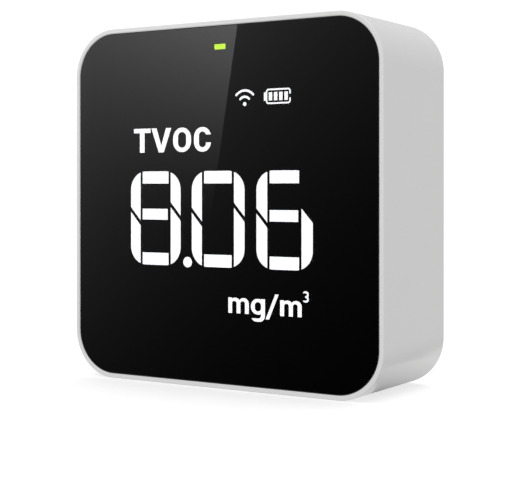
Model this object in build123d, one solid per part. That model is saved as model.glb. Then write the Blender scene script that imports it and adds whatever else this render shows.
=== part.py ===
from build123d import *
import os

# A palm-sized air quality monitor: a square white case that stands on its flat base,
# with a black window over a lit segment display. Inside are a control board, a battery,
# a laser particle sensor with its fan, a gas sensor and a charging socket at the back.
#
# Frame: +X to the right as seen from the front, +Y to the back, +Z up.
# The origin is the middle of the base, half way through the depth. Millimetres.

# ---------------------------------------------------------------- case
case_width = 81.28
case_height = 81.28
case_depth = 30.48
case_corner = 10.95           # corner radius seen from the front
case_wall = 2.0
rim_width = 1.08              # white rim seen around the window
rim_chamfer = 0.2
front_edge_round = 0.3
rear_edge_round = 0.6
ledge_thickness = 1.5         # shelf behind the window
display_opening_gap = 1.0     # all round, between the display and the ledge

# ---------------------------------------------------------------- window
window_recess = 0.12
window_clearance = 0.06
window_thickness = 1.0
window_edge_chamfer = 0.12
print_thickness = 0.1         # opaque ink behind the window
print_margin = 2.0            # ink frame overlaps the display by this much, all round
adhesive_thickness = 0.2
adhesive_inset = 0.5          # from the window's edge
adhesive_width = 2.8

# ---------------------------------------------------------------- display module
display_width = 58.0
display_height = 60.0
display_thickness = 4.0
display_corner = 1.0
display_gap = 0.1             # between the ink and the display's face
segment_depth = 1.2           # diffuser pieces are this thick
light_bore_radius = 0.45
display_board_thickness = 1.0
display_board_gap = 1.3       # to the main board
display_pin_count = 14
display_pin_pitch = 2.0
display_pin_width = 0.5
display_pin_row = 27.5        # above the middle of the display
pin_hole_radius = 0.45
pin_tail = 0.5                # pins stand this far out of a board
led_size = 0.6
led_height = 0.3

# Digits: each has its own left edge, and all share one size.
digit_width = 14.08
digit_height = 21.36
digit_pitch = 17.16
digits_left = -24.87          # from the middle of the display
digits_base = -13.92
digit_stroke = 2.76
digit_gap = 0.60
digit_corner = 4.2
digit_bar = 2.78
digit_middle_bar = 2.48
digit_middle_trim = 0.22      # middle bar ends this much short on its right
digit_middle_height = 11.58   # middle of the middle bar, above the digit's base
left_split_height = 11.07     # slanted gaps that part the upper and lower strokes
right_split_height = 12.26
split_angle = 48.0
split_gap = 0.76
point_radius = 1.19
point_x = -8.86
point_z = -13.02

# Quantity label, in capitals.
cap_height = 5.54
cap_stroke = 1.36
cap_bar = 1.01
cap_round_share = 0.49        # corner radius of a round letter, of its width
cap_hollow_share = 0.48
label_base = 11.74
letter_t_left = -24.04
letter_t_width = 4.80
letter_v_left = -19.00
letter_v_width = 5.60
letter_v_foot = 1.42
letter_v_arm = 1.48
letter_v_apex = 1.50
letter_o_left = -12.87
letter_o_width = 4.97
letter_c_left = -7.11
letter_c_width = 4.62
letter_c_mouth_low = 2.08
letter_c_mouth_high = 3.84

# Unit label, in small letters.
small_height = 3.40
small_stroke = 1.00
small_counter = 1.18
small_arch = 0.70             # thickness of an arch at its top
small_round_share = 0.46      # corner radius of a bowl or arch, of its width
small_hollow_share = 0.46
tail_round_share = 0.38
tail_hollow_share = 0.2
tail_start_share = 0.15       # of a stroke's width
arch_start_share = 0.5        # arches spring from this far into a stem
unit_base = -23.83
unit_left = 2.12
letter_g_left = 8.03
letter_g_width = 3.60
letter_g_tail = 1.55          # below the base line
slash_left = 11.80
slash_width = 0.86
slash_lean = 2.44
slash_low = -0.92
slash_high = 4.59
second_m_left = 15.46
cube_left = 21.11
cube_base = 3.18
cube_width = 1.42
cube_height = 2.39
cube_stroke = 0.42
cube_round_share = 0.42       # of a bowl's height
cube_hollow_share = 0.18
cube_mouth_share = 0.42       # of the figure's width

# Pictograms.
icon_stroke = 0.51
wave_x = 6.41
wave_z = 21.99
wave_radii = (1.60, 2.98)
wave_half_angles = (46.0, 47.0)
wave_dot_radius = 0.45
cell_icon_left = 11.86
cell_icon_base = 21.76
cell_icon_width = 6.26
cell_icon_height = 3.34
cell_icon_line = 0.36
cell_icon_corner = 0.7
cell_icon_break = 0.80        # gap in the outline's right side
cell_nub_width = 0.50
cell_nub_height = 1.80
cell_bar_count = 4
cell_bar_width = 0.86
cell_bar_gap = 0.45

# ---------------------------------------------------------------- indicator
indicator_width = 3.0
indicator_height = 1.2
indicator_z = 34.9            # above the middle of the front
indicator_clearance = 0.1
pipe_shoulder = 0.8
pipe_shoulder_thickness = 0.8
indicator_led_width = 1.6
indicator_led_height = 0.8
indicator_led_thickness = 0.6
indicator_led_gap = 0.3

# ---------------------------------------------------------------- boards
board_thickness = 1.6
board_clearance = 2.1         # between the main board and the case walls
board_notch_gap = 0.6         # between the main board and the corner posts
small_board_thickness = 1.0
standoff_radius = 2.2
standoff_x_gap = 2.5          # standoff axis to the board's edge
standoff_z = 16.0             # above and below the middle
board_screw_length = 5.4

# ---------------------------------------------------------------- screws
screw_radius = 0.8
screw_hole_gap = 0.05
screw_pass_gap = 0.3
screw_head_radius = 1.75
screw_head_height = 1.2
screw_head_gap = 0.3
screw_cross = 0.5             # width of the cross recess in the head
screw_cross_share = 0.6       # of the head's diameter and height
screw_head_round_share = 0.4
screw_tip_share = 0.5         # of the shank's radius
cover_screw_length = 9.0
pilot_end_gap = 0.8           # pilot holes run this much deeper than the screws
post_radius = 3.2
post_inset = 6.6              # corner posts, from the outside of the case

# ---------------------------------------------------------------- rear cover
cover_thickness = 2.0
cover_gap = 0.15
cover_recess = 0.2
cover_edge_chamfer = 0.3
cover_post_height = 1.2
cover_lip_length = 48.0
cover_lip_width = 1.0
cover_lip_height = 2.5
head_pocket_depth = 1.6
vent_x = 19.0                 # two groups of slots, left and right
vent_z = 58.5
vent_length = 22.0
vent_width = 1.6
vent_pitch = 3.4
vent_count = 7
screen_thickness = 0.3
screen_size = 25.0
screen_pitch = 2.0
screen_hole = 1.4
screen_holes = 11

# ---------------------------------------------------------------- power button and switch
button_radius = 5.5
button_clearance = 0.15
button_recess = 0.1
button_dish = 0.35            # depth of the hollow in its face
button_dish_radius = 24.0
button_flange_radius = 6.6
button_flange_thickness = 0.8
button_flange_gap = 0.05
button_stem_radius = 1.2
button_edge_round = 0.25
button_travel = 0.4
switch_width = 6.0
switch_depth = 3.5
switch_height = 3.5
switch_drop = 1.4             # switch body's top below the main board's upper edge
plunger_radius = 1.0
plunger_rise = 1.2
plunger_seat = 1.0
plunger_clearance = 0.05
plunger_gap = 0.05

# ---------------------------------------------------------------- charging
charge_board_width = 22.0
charge_board_front = -3.0
charge_board_gap = 0.4        # to the rear cover
charge_boss_height = 2.6
charge_screw_x = 8.4
charge_screw_y = 2.6
charge_screw_length = 4.2
socket_width = 8.94
socket_height = 3.2
socket_length = 7.35
socket_wall = 0.3
socket_round_share = 0.45     # corner radius, of the socket's height
socket_recess = 0.5
socket_port_gap = 0.3
tongue_width = 6.6
tongue_thickness = 0.7
tongue_length = 4.4
socket_base_length = 1.6
link_pin_count = 5
link_pin_pitch = 2.0
link_pin_width = 0.5
link_pin_rise = 1.8
link_pin_inset = 1.6
charger_chip_size = 3.0
charger_chip_height = 0.8
charger_chip_x = -3.0
charger_chip_gap = 1.6        # in front of the socket

# ---------------------------------------------------------------- battery
battery_width = 48.0
battery_height = 30.0
battery_thickness = 8.5
battery_round = 1.2
battery_corner = 1.8          # corners seen from the back
battery_x = -8.0
battery_base = 10.5
tape_thickness = 0.2
tape_margin = 5.0
tape_corner = 1.0
plug_width = 6.0
plug_height = 4.4
plug_thickness = 2.2
socket_body_width = 7.6
socket_body_height = 6.0
socket_body_thickness = 3.4
plug_x = 24.2
plug_z = 41.0
plug_lift = 0.6
plug_gap = 0.15
lead_radius = 0.5
lead_pitch = 2.0
lead_exit_gap = 0.05
lead_run = 3.2
lead_bend_radius = 0.8
lead_bend_share = 0.45        # of the run, where a lead turns up to the plug

# ---------------------------------------------------------------- main board parts
chip_size = 7.0
chip_height = 0.9
chip_x = -12.0
chip_z = 56.0
chip_corner = 0.3
chip_chamfer = 0.15
chip_dot_radius = 0.4         # mark of the first leg
chip_dot_depth = 0.1
chip_dot_inset = 1.0
wireless_width = 14.4
wireless_height = 22.0
wireless_thickness = 0.8
wireless_x = 24.6
wireless_z = 24.6
wireless_corner = 0.4
shield_width = 12.4
shield_height = 14.4
shield_thickness = 2.2
shield_corner = 0.6
shield_round = 0.3
shield_drop = 2.6             # can is set towards the module's foot
capacitor_length = 1.6
capacitor_width = 0.8
capacitor_height = 0.8
capacitor_count = 6
capacitor_pitch = 2.6
capacitor_row_gap = 3.0       # below the chip

# ---------------------------------------------------------------- particle sensor
gasket_thickness = 1.0
gasket_width = 1.6
sensor_wall = 0.9
sensor_height = 30.0
sensor_right = 14.5
sensor_tray_depth = 11.0
sensor_fit_gap = 0.2
sensor_corner = 1.2
inlet_width = 4.0
inlet_height = 17.0
channel_wall = 0.8
channel_opening = 7.0
ear_radius = 1.9
ear_thickness = 1.5
ear_reach = 1.8
ear_x = 5.0                   # ears are set this far from the fan's axis
lid_thickness = 0.3
lid_lift = 1.2
lid_skirt = 3.0
lid_gap = 0.1
ear_screw_length = 3.8
ear_screw_radius = 0.65
ear_head_radius = 1.4
ear_head_height = 0.9
header_columns = 4
header_pitch = 2.0
header_pin_width = 0.5
header_x = 4.0
header_z = 47.5
header_block_gap = 0.6
header_block_margin = 1.2
laser_radius = 1.65
laser_length = 5.0
laser_bore_gap = 0.05
laser_can_share = 0.9         # of the bore's length
laser_lens_share = 0.5        # of the can's radius
laser_lens_depth = 0.4
laser_x = 1.5
laser_block_wall = 1.2
laser_block_height = 7.0
photodiode_size = 3.0
photodiode_height = 1.0

# ---------------------------------------------------------------- fan
fan_size = 20.0
fan_depth = 6.0
fan_corner = 1.5
fan_rim = 0.8                 # narrowest part of the frame round its bore
fan_bore_radius = fan_size / 2 - fan_rim
fan_tip_clearance = 0.3
fan_hole_radius = 0.9
fan_hole_inset = 1.9
fan_plate_thickness = 0.8
fan_plate_radius = 4.8
fan_strut_width = 1.2
fan_strut_angles = (90, 210, 330)
hub_radius = 4.6
hub_wall = 0.6
hub_gap = 0.35                # between the hub's rim and the plate
hub_end_gap = 0.4             # rotor stays below the frame's face
blade_count = 7
blade_pitch_angle = 38.0
blade_thickness = 0.55
blade_chord = 5.4
blade_height = 3.6
shaft_radius = 0.5
shaft_clearance = 0.04
bearing_radius = 1.2
bearing_fit_gap = 0.02
bearing_tube_wall = 0.5
stator_radius = 3.4
stator_height = 2.4
stator_pole_width = 1.3
stator_pole_count = 4
stator_core_radius = 2.3

# ---------------------------------------------------------------- gas sensor
gas_x = 22.4
gas_radius = 4.6
gas_can_radius = 4.15
gas_height = 8.0
gas_base_height = 1.4
gas_screen_gap = 0.6          # can's top to the dust screen
gas_mesh_radius = 0.35
gas_mesh_pitch = 1.1
gas_mesh_rows = 5
gas_top_thickness = 1.0
gas_can_round = 0.4
gas_board_width = 12.6
gas_board_height = 18.0
gas_board_drop = 1.5          # board's middle below the sensor's axis
gas_board_corner = 0.8
gas_pin_pitch = 3.0
gas_pin_width = 0.6
gas_pin_row = 6.5             # below the sensor's axis
gas_pin_count = 3

# ---------------------------------------------------------------- derived places
middle_z = case_height / 2
front_y = -case_depth / 2
rear_y = case_depth / 2
inner_width = case_width - 2 * case_wall
inner_height = case_height - 2 * case_wall
inner_corner = case_corner - case_wall
window_y = front_y + window_recess
print_y = window_y + window_thickness
adhesive_y = print_y + print_thickness
ledge_y = adhesive_y + adhesive_thickness
ledge_back_y = ledge_y + ledge_thickness
display_y = adhesive_y + display_gap
display_board_y = display_y + display_thickness
board_front_y = display_board_y + display_board_thickness + display_board_gap
board_back_y = board_front_y + board_thickness
cover_outer_y = rear_y - cover_recess
cover_inner_y = cover_outer_y - cover_thickness
post_end_y = cover_inner_y - cover_post_height
board_width = inner_width - 2 * board_clearance
board_height = inner_height - 2 * board_clearance
board_top_z = middle_z + board_height / 2
post_x = case_width / 2 - post_inset
post_z = case_height / 2 - post_inset
standoff_x = board_width / 2 - standoff_x_gap
switch_y = board_back_y + switch_depth / 2
switch_top_z = board_top_z - switch_drop
plunger_top_z = switch_top_z + plunger_rise
button_flange_z = case_height - case_wall - button_flange_gap - button_flange_thickness
charge_board_z = case_wall + charge_boss_height
charge_top_z = charge_board_z + small_board_thickness
socket_z = charge_top_z + socket_height / 2
socket_y = cover_outer_y - socket_recess - socket_length
battery_y = board_back_y + tape_thickness
fan_x = -vent_x
fan_z = vent_z
sensor_rear_y = cover_inner_y - gasket_thickness
sensor_front_y = sensor_rear_y - sensor_tray_depth
sensor_board_y = sensor_front_y - small_board_thickness
sensor_left = fan_x - fan_size / 2 - sensor_fit_gap - sensor_wall
sensor_width = sensor_right - sensor_left
sensor_x = (sensor_left + sensor_right) / 2
sensor_base = vent_z - sensor_height / 2
fan_rear_y = sensor_rear_y - sensor_wall
fan_y = fan_rear_y - fan_depth
inlet_x = sensor_right - sensor_wall - inlet_width / 2
lid_y = sensor_board_y - lid_lift - lid_thickness
gas_y = cover_inner_y - screen_thickness - gas_screen_gap - gas_height
gas_board_y = gas_y - small_board_thickness


# ---------------------------------------------------------------- shape helpers
def slab(outline, y, thickness):
    """Push a front-view outline (X, Z) backwards from Y = y."""
    return extrude(Plane.XZ.offset(-y) * outline, amount=thickness, dir=(0, 1, 0))


def block(outline, z, height):
    """Raise a plan-view outline (X, Y) from Z = z."""
    return extrude(Plane.XY.offset(z) * outline, amount=height)


def panel(width, height, corner, x=0, z=middle_z):
    """Rounded rectangle seen from the front, around (x, z)."""
    return Pos(x, z) * RectangleRounded(width, height, corner)


def strip(left, right, low, high):
    """Plain rectangle between four limits."""
    return Pos((left + right) / 2, (low + high) / 2) * Rectangle(right - left, high - low)


def disc(radius, x, z):
    return Pos(x, z) * Circle(radius)


def joined(outlines):
    return Sketch() + list(outlines)


def mirrored_points(x, z):
    """Four places around the middle of the case."""
    return [(sx * x, middle_z + sz * z) for sx in (-1, 1) for sz in (-1, 1)]


def screw(radius, length, head_radius, head_height):
    """Pan-head screw along +Z: head below Z = 0, shank above it."""
    head = Pos(0, 0, -head_height / 2) * Cylinder(head_radius, head_height)
    head = fillet(head.edges().group_by(Axis.Z)[0], head_height * screw_head_round_share)
    arm = 2 * head_radius * screw_cross_share
    depth = head_height * screw_cross_share
    recess = Box(arm, screw_cross, depth) + Box(screw_cross, arm, depth)
    body = head - Pos(0, 0, depth / 2 - head_height) * recess
    body += Pos(0, 0, length / 2) * Cylinder(radius, length)
    tip = body.edges().filter_by(GeomType.CIRCLE).sort_by(Axis.Z)[-1]
    return chamfer(tip, radius * screw_tip_share)


def along_y(x, y, z, forwards=False):
    """Places a piece made along +Z so that it runs along +Y, or along -Y."""
    return Pos(x, y, z) * Rot(90 if forwards else -90, 0, 0)


# ---------------------------------------------------------------- display characters
def digit_segments():
    """Seven segments by place, with the digit's lower left corner at the origin."""
    frame = Pos(digit_width / 2, digit_height / 2) * RectangleRounded(
        digit_width, digit_height, digit_corner)
    bar_left = digit_stroke + digit_gap
    bar_right = digit_width - bar_left
    middle_low = digit_middle_height - digit_middle_bar / 2
    top_bar = frame & strip(bar_left, bar_right, digit_height - digit_bar, digit_height)
    bottom_bar = frame & strip(bar_left, bar_right, 0, digit_bar)
    middle_bar = strip(bar_left, bar_right - digit_middle_trim, middle_low,
                       middle_low + digit_middle_bar)
    lower_left, upper_left = split_stroke(frame, 0, left_split_height)
    lower_right, upper_right = split_stroke(
        frame, digit_width - digit_stroke, right_split_height)
    return {
        "top": top_bar,
        "middle": middle_bar,
        "bottom": bottom_bar,
        "upper_left": upper_left,
        "lower_left": lower_left,
        "upper_right": upper_right,
        "lower_right": lower_right,
    }


def split_stroke(frame, left, split_height):
    """One upright stroke, parted by a slanted gap into a lower and an upper segment."""
    stroke = frame & strip(left, left + digit_stroke, 0, digit_height)
    gap = Rot(0, 0, -split_angle) * Rectangle(3 * digit_stroke, split_gap)
    pieces = (stroke - Pos(left + digit_stroke / 2, split_height) * gap).faces()
    ordered = pieces.sort_by(Axis.Y)
    return ordered[0], ordered[-1]


def digit(place, off=()):
    """Lit segments of the digit at this place, and the ones that are off."""
    shift = Pos(digits_left + place * digit_pitch, digits_base)
    segments = digit_segments()
    lit = [shift * piece for name, piece in segments.items() if name not in off]
    dark = [shift * segments[name] for name in off]
    return lit, dark


def rounded_box(left, low, width, height, corner):
    return Pos(left + width / 2, low + height / 2) * RectangleRounded(width, height, corner)


def letter_t():
    stem_left = (letter_t_width - cap_stroke) / 2
    stem = strip(stem_left, stem_left + cap_stroke, 0, cap_height)
    return stem + strip(0, letter_t_width, cap_height - cap_bar, cap_height)


def letter_v():
    foot_left = (letter_v_width - letter_v_foot) / 2
    points = (
        (0, cap_height),
        (letter_v_arm, cap_height),
        (letter_v_width / 2, letter_v_apex),
        (letter_v_width - letter_v_arm, cap_height),
        (letter_v_width, cap_height),
        (foot_left + letter_v_foot, 0),
        (foot_left, 0),
    )
    return Polygon(*points, align=None)


def round_letter(width):
    """Letter O of the given width."""
    outer = rounded_box(0, 0, width, cap_height, width * cap_round_share)
    inner_width = width - 2 * cap_stroke
    inner = rounded_box(cap_stroke, cap_bar, inner_width, cap_height - 2 * cap_bar,
                        inner_width * cap_hollow_share)
    return outer - inner


def letter_c():
    mouth = strip(letter_c_width / 2, letter_c_width + 1, letter_c_mouth_low, letter_c_mouth_high)
    return round_letter(letter_c_width) - mouth


def quantity_letters():
    places = (
        (letter_t_left, letter_t()),
        (letter_v_left, letter_v()),
        (letter_o_left, round_letter(letter_o_width)),
        (letter_c_left, letter_c()),
    )
    return [Pos(left, label_base) * letter for left, letter in places]


def arch(stem_left):
    """One round-topped arch of the letter m, which springs from the stem given."""
    left = stem_left + small_stroke * arch_start_share
    width = 2 * small_stroke + small_counter - small_stroke * arch_start_share
    tall = Pos(left + width / 2, 0) * RectangleRounded(
        width, 2 * small_height, width * small_round_share)
    return tall & strip(left, left + width, 0, small_height)


def letter_m():
    step = small_stroke + small_counter
    body = strip(0, small_stroke, 0, small_height) + arch(0) + arch(step)
    for start in (small_stroke, small_stroke + step):
        counter = Pos(start + small_counter / 2, 0) * RectangleRounded(
            small_counter, 2 * (small_height - small_arch),
            small_counter * small_hollow_share)
        body -= counter
    return body


def letter_g():
    bowl = rounded_box(0, 0, letter_g_width, small_height, letter_g_width * small_round_share)
    stem_left = letter_g_width - small_stroke
    stem = strip(stem_left, letter_g_width, 0, small_height)
    counter = rounded_box(small_stroke, small_arch, letter_g_width - 2 * small_stroke,
                          small_height - 2 * small_arch,
                          (letter_g_width - 2 * small_stroke) * small_hollow_share)
    reach = letter_g_tail + small_height / 2
    hook = rounded_box(0, -letter_g_tail, letter_g_width, reach,
                       letter_g_width * tail_round_share)
    hollow = rounded_box(-small_stroke, small_arch - letter_g_tail, letter_g_width, reach,
                         letter_g_width * tail_hollow_share)
    hook -= hollow
    start = small_stroke * tail_start_share
    hook = hook & strip(start, letter_g_width, -letter_g_tail, small_arch)
    return (bowl + stem + hook) - counter


def letter_slash():
    points = (
        (0, slash_low),
        (slash_width, slash_low),
        (slash_width + slash_lean, slash_high),
        (slash_lean, slash_high),
    )
    return Polygon(*points, align=None)


def small_three():
    """Raised 3: two rounded bowls, open to the left."""
    bowl_height = (cube_height + cube_stroke) / 2
    rings = []
    for low in (0, cube_height - bowl_height):
        outer = rounded_box(0, low, cube_width, bowl_height, bowl_height * cube_round_share)
        inner = rounded_box(cube_stroke, low + cube_stroke, cube_width - 2 * cube_stroke,
                            bowl_height - 2 * cube_stroke, bowl_height * cube_hollow_share)
        rings.append(outer - inner)
    opening = strip(-1, cube_width * cube_mouth_share, cube_stroke, cube_height - cube_stroke)
    return rings[0] + rings[1] - opening


def unit_letters():
    places = (
        (unit_left, 0, letter_m()),
        (letter_g_left, 0, letter_g()),
        (slash_left, 0, letter_slash()),
        (second_m_left, 0, letter_m()),
        (cube_left, cube_base, small_three()),
    )
    return [Pos(left, unit_base + low) * letter for left, low, letter in places]


def wireless_marks():
    """Dot and two round-ended waves."""
    marks = [disc(wave_dot_radius, wave_x, wave_z)]
    for radius, half_angle in zip(wave_radii, wave_half_angles):
        wave = CenterArc((wave_x, wave_z), radius, 90 - half_angle, 2 * half_angle)
        marks.append(SlotArc(wave, icon_stroke))
    return marks


def battery_marks():
    """Outline of a cell with its end contact, and charge bars inside it."""
    outline = rounded_box(cell_icon_left, cell_icon_base, cell_icon_width, cell_icon_height,
                          cell_icon_corner)
    outline -= rounded_box(cell_icon_left + cell_icon_line, cell_icon_base + cell_icon_line,
                           cell_icon_width - 2 * cell_icon_line,
                           cell_icon_height - 2 * cell_icon_line,
                           cell_icon_corner - cell_icon_line)
    icon_z = cell_icon_base + cell_icon_height / 2
    right = cell_icon_left + cell_icon_width
    outline -= strip(right - 2 * cell_icon_line, right + cell_icon_line,
                     icon_z - cell_icon_break / 2, icon_z + cell_icon_break / 2)
    nub = strip(cell_icon_left - cell_nub_width, cell_icon_left + cell_icon_line / 2,
                icon_z - cell_nub_height / 2, icon_z + cell_nub_height / 2)
    marks = [outline + nub]
    pitch = cell_bar_width + cell_bar_gap
    first = cell_icon_left + (cell_icon_width - cell_bar_count * pitch + cell_bar_gap) / 2
    for index in range(cell_bar_count):
        left = first + index * pitch
        marks.append(strip(left, left + cell_bar_width,
                           icon_z - cell_nub_height / 2, icon_z + cell_nub_height / 2))
    return marks


def display_marks():
    """Every diffuser piece of the display by node, in the display's own plane."""
    left_lit, left_dark = digit(0)
    middle_lit, middle_dark = digit(1, off=("middle",))
    right_lit, right_dark = digit(2, off=("upper_right",))
    return {
        "digit_left": left_lit,
        "digit_middle": middle_lit,
        "digit_right": right_lit,
        "unlit_segments": left_dark + middle_dark + right_dark,
        "decimal_point": [disc(point_radius, point_x, point_z)],
        "quantity_label": quantity_letters(),
        "unit_label": unit_letters(),
        "wireless_icon": wireless_marks(),
        "battery_icon": battery_marks(),
    }


def light_spots(marks):
    """Places of the small lamps behind the display, from its middle."""
    spots = []
    for name in ("digit_left", "digit_middle", "digit_right", "unlit_segments", "decimal_point"):
        for piece in marks[name]:
            centre = piece.bounding_box().center()
            spots.append((centre.X, centre.Y))
    upright = label_base + cap_height / 2
    spots.append((letter_t_left + letter_t_width / 2, upright))
    spots.append((letter_v_left + letter_v_width / 2, label_base + letter_v_apex / 2))
    spots.append((letter_o_left + cap_stroke / 2, upright))
    spots.append((letter_c_left + cap_stroke / 2, upright))
    m_stem = small_stroke + small_counter + small_stroke / 2
    half_small = unit_base + small_height / 2
    spots.append((unit_left + m_stem, half_small))
    spots.append((letter_g_left + letter_g_width - small_stroke / 2, half_small))
    spots.append((slash_left + (slash_width + slash_lean) / 2, half_small))
    spots.append((second_m_left + m_stem, half_small))
    spots.append((wave_x, wave_z))
    spots.append((wave_x, wave_z + wave_radii[-1]))
    spots.append((cell_icon_left + cell_icon_width / 2, cell_icon_base + cell_icon_height / 2))
    return [(x, middle_z + z) for x, z in spots]


# ---------------------------------------------------------------- display module
def make_display_marks(marks):
    lift = Pos(0, middle_z)
    return {
        name: slab(lift * joined(pieces), display_y, segment_depth)
        for name, pieces in marks.items()
    }


def make_display_reflector(marks, spots):
    """Body with a pocket for every diffuser piece and a light bore behind it."""
    body = slab(panel(display_width, display_height, display_corner), display_y,
                display_thickness)
    for pieces in marks.values():
        body -= slab(Pos(0, middle_z) * joined(pieces), display_y, segment_depth)
    bores = joined(disc(light_bore_radius, x, z) for x, z in spots)
    bore_y = display_y + segment_depth
    return body - slab(bores, bore_y, display_board_y - bore_y)


def make_display_leds(spots):
    chips = joined(Pos(x, z) * Rectangle(led_size, led_size) for x, z in spots)
    return slab(chips, display_board_y - led_height, led_height)


def display_pin_places():
    first = -(display_pin_count - 1) * display_pin_pitch / 2
    row_z = middle_z + display_pin_row
    return [(first + index * display_pin_pitch, row_z) for index in range(display_pin_count)]


def display_pin_holes():
    return joined(disc(pin_hole_radius, x, z) for x, z in display_pin_places())


def make_display_board():
    board = slab(panel(display_width, display_height, display_corner), display_board_y,
                 display_board_thickness)
    return board - slab(display_pin_holes(), display_board_y, display_board_thickness)


def make_display_pins():
    """Straight pins that carry the display module on the main board."""
    pins = joined(Pos(x, z) * Rectangle(display_pin_width, display_pin_width)
                  for x, z in display_pin_places())
    return slab(pins, display_board_y, board_back_y + pin_tail - display_board_y)


# ---------------------------------------------------------------- window
def window_outline(inset):
    """The window's outline, drawn in by the given amount."""
    edge = rim_width + window_clearance + inset
    return panel(case_width - 2 * edge, case_height - 2 * edge, case_corner - edge)


def indicator_outline(grow=0.0):
    return Pos(0, middle_z + indicator_z) * Rectangle(
        indicator_width + 2 * grow, indicator_height + 2 * grow)


def make_front_window():
    glass = slab(window_outline(0), window_y, window_thickness)
    front = glass.faces().sort_by(Axis.Y)[0]
    return chamfer(front.edges(), window_edge_chamfer)


def make_window_print():
    """Ink frame with clear openings for the display and the indicator light."""
    view = panel(display_width - 2 * print_margin, display_height - 2 * print_margin,
                 display_corner)
    ink = window_outline(window_edge_chamfer) - view - indicator_outline()
    return slab(ink, print_y, print_thickness)


def make_window_adhesive():
    ring = window_outline(adhesive_inset) - window_outline(adhesive_inset + adhesive_width)
    return slab(ring, adhesive_y, adhesive_thickness)


def make_indicator_light_pipe():
    tip_y = adhesive_y + display_gap
    end_y = board_front_y - indicator_led_thickness - indicator_led_gap
    bar = slab(indicator_outline(), tip_y, end_y - tip_y)
    shoulder = slab(indicator_outline(pipe_shoulder), ledge_back_y, pipe_shoulder_thickness)
    return bar + shoulder


def make_indicator_led():
    chip = Pos(0, middle_z + indicator_z) * Rectangle(indicator_led_width, indicator_led_height)
    return slab(chip, board_front_y - indicator_led_thickness, indicator_led_thickness)


# ---------------------------------------------------------------- case
def pocket_radius():
    return screw_radius + screw_hole_gap


def make_housing():
    """Tube with the window's ledge near its front, corner posts and standoffs."""
    shell = slab(panel(case_width, case_height, case_corner), front_y, case_depth)
    shell = fillet(shell.faces().sort_by(Axis.Y)[-1].edges(), rear_edge_round)
    shell = fillet(shell.faces().sort_by(Axis.Y)[0].edges(), front_edge_round)
    pocket = panel(case_width - 2 * rim_width, case_height - 2 * rim_width,
                   case_corner - rim_width)
    shell -= slab(pocket, front_y, ledge_y - front_y)
    rim = shell.faces().sort_by(Axis.Y)[0]
    shell = chamfer(rim.inner_wires()[0].edges(), rim_chamfer)
    shell -= slab(panel(inner_width, inner_height, inner_corner), ledge_back_y,
                  rear_y - ledge_back_y)
    opening = panel(display_width + 2 * display_opening_gap,
                    display_height + 2 * display_opening_gap,
                    display_corner + display_opening_gap)
    shell -= slab(opening, ledge_y, ledge_thickness)
    shell -= slab(indicator_outline(indicator_clearance), ledge_y, ledge_thickness)
    shell = add_corner_posts(shell)
    shell = add_board_standoffs(shell)
    shell = add_charge_bosses(shell)
    button_hole = Circle(button_radius + button_clearance)
    return shell - block(button_hole, case_height - case_wall, case_wall)


def add_corner_posts(shell):
    places = mirrored_points(post_x, post_z)
    posts = joined(disc(post_radius, x, z) for x, z in places)
    pilots = joined(disc(pocket_radius(), x, z) for x, z in places)
    depth = cover_screw_length - (cover_thickness + cover_post_height - head_pocket_depth)
    depth += pilot_end_gap
    shell += slab(posts, ledge_back_y, post_end_y - ledge_back_y)
    return shell - slab(pilots, post_end_y - depth, depth)


def add_board_standoffs(shell):
    places = mirrored_points(standoff_x, standoff_z)
    standoffs = joined(disc(standoff_radius, x, z) for x, z in places)
    pilots = joined(disc(pocket_radius(), x, z) for x, z in places)
    shell += slab(standoffs, ledge_back_y, board_front_y - ledge_back_y)
    depth = board_screw_length - board_thickness + pilot_end_gap
    return shell - slab(pilots, board_front_y - depth, depth)


def add_charge_bosses(shell):
    for side in (-1, 1):
        place = Pos(side * charge_screw_x, charge_screw_y)
        shell += block(place * Circle(standoff_radius), case_wall / 2,
                       case_wall / 2 + charge_boss_height)
        depth = charge_screw_length - small_board_thickness + pilot_end_gap / 2
        shell -= block(place * Circle(pocket_radius()), charge_board_z - depth, depth)
    return shell


def make_rear_cover():
    """Back plate with air slots, the charging port, screw pockets and a locating lip."""
    plate = slab(cover_outline(), cover_inner_y, cover_thickness)
    plate = chamfer(plate.faces().sort_by(Axis.Y)[-1].edges(), cover_edge_chamfer)
    plate += cover_posts()
    plate += cover_lips()
    plate += ear_posts()
    plate -= slab(vent_slots(), cover_inner_y, cover_thickness)
    plate -= slab(socket_outline(-socket_port_gap), cover_inner_y, cover_thickness)
    return cut_cover_screw_holes(plate)


def cover_outline():
    return panel(inner_width - 2 * cover_gap, inner_height - 2 * cover_gap,
                 inner_corner - cover_gap)


def cover_posts():
    places = mirrored_points(post_x, post_z)
    posts = joined(disc(post_radius, x, z) for x, z in places)
    return slab(posts & cover_outline(), post_end_y, cover_post_height)


def cover_lips():
    """Four straight lips that centre the cover in the case."""
    lip_x = inner_width / 2 - cover_gap - cover_lip_width / 2
    lip_z = inner_height / 2 - cover_gap - cover_lip_width / 2
    lips = [
        Pos(side * lip_x, middle_z) * Rectangle(cover_lip_width, cover_lip_length)
        for side in (-1, 1)
    ]
    lips += [
        Pos(0, middle_z + side * lip_z) * Rectangle(cover_lip_length, cover_lip_width)
        for side in (-1, 1)
    ]
    return slab(joined(lips), cover_inner_y - cover_lip_height, cover_lip_height)


def vent_slots():
    slots = []
    for side in (-1, 1):
        for index in range(vent_count):
            z = vent_z + (index - (vent_count - 1) / 2) * vent_pitch
            slots.append(Pos(side * vent_x, z) * SlotOverall(vent_length, vent_width))
    return joined(slots)


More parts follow.
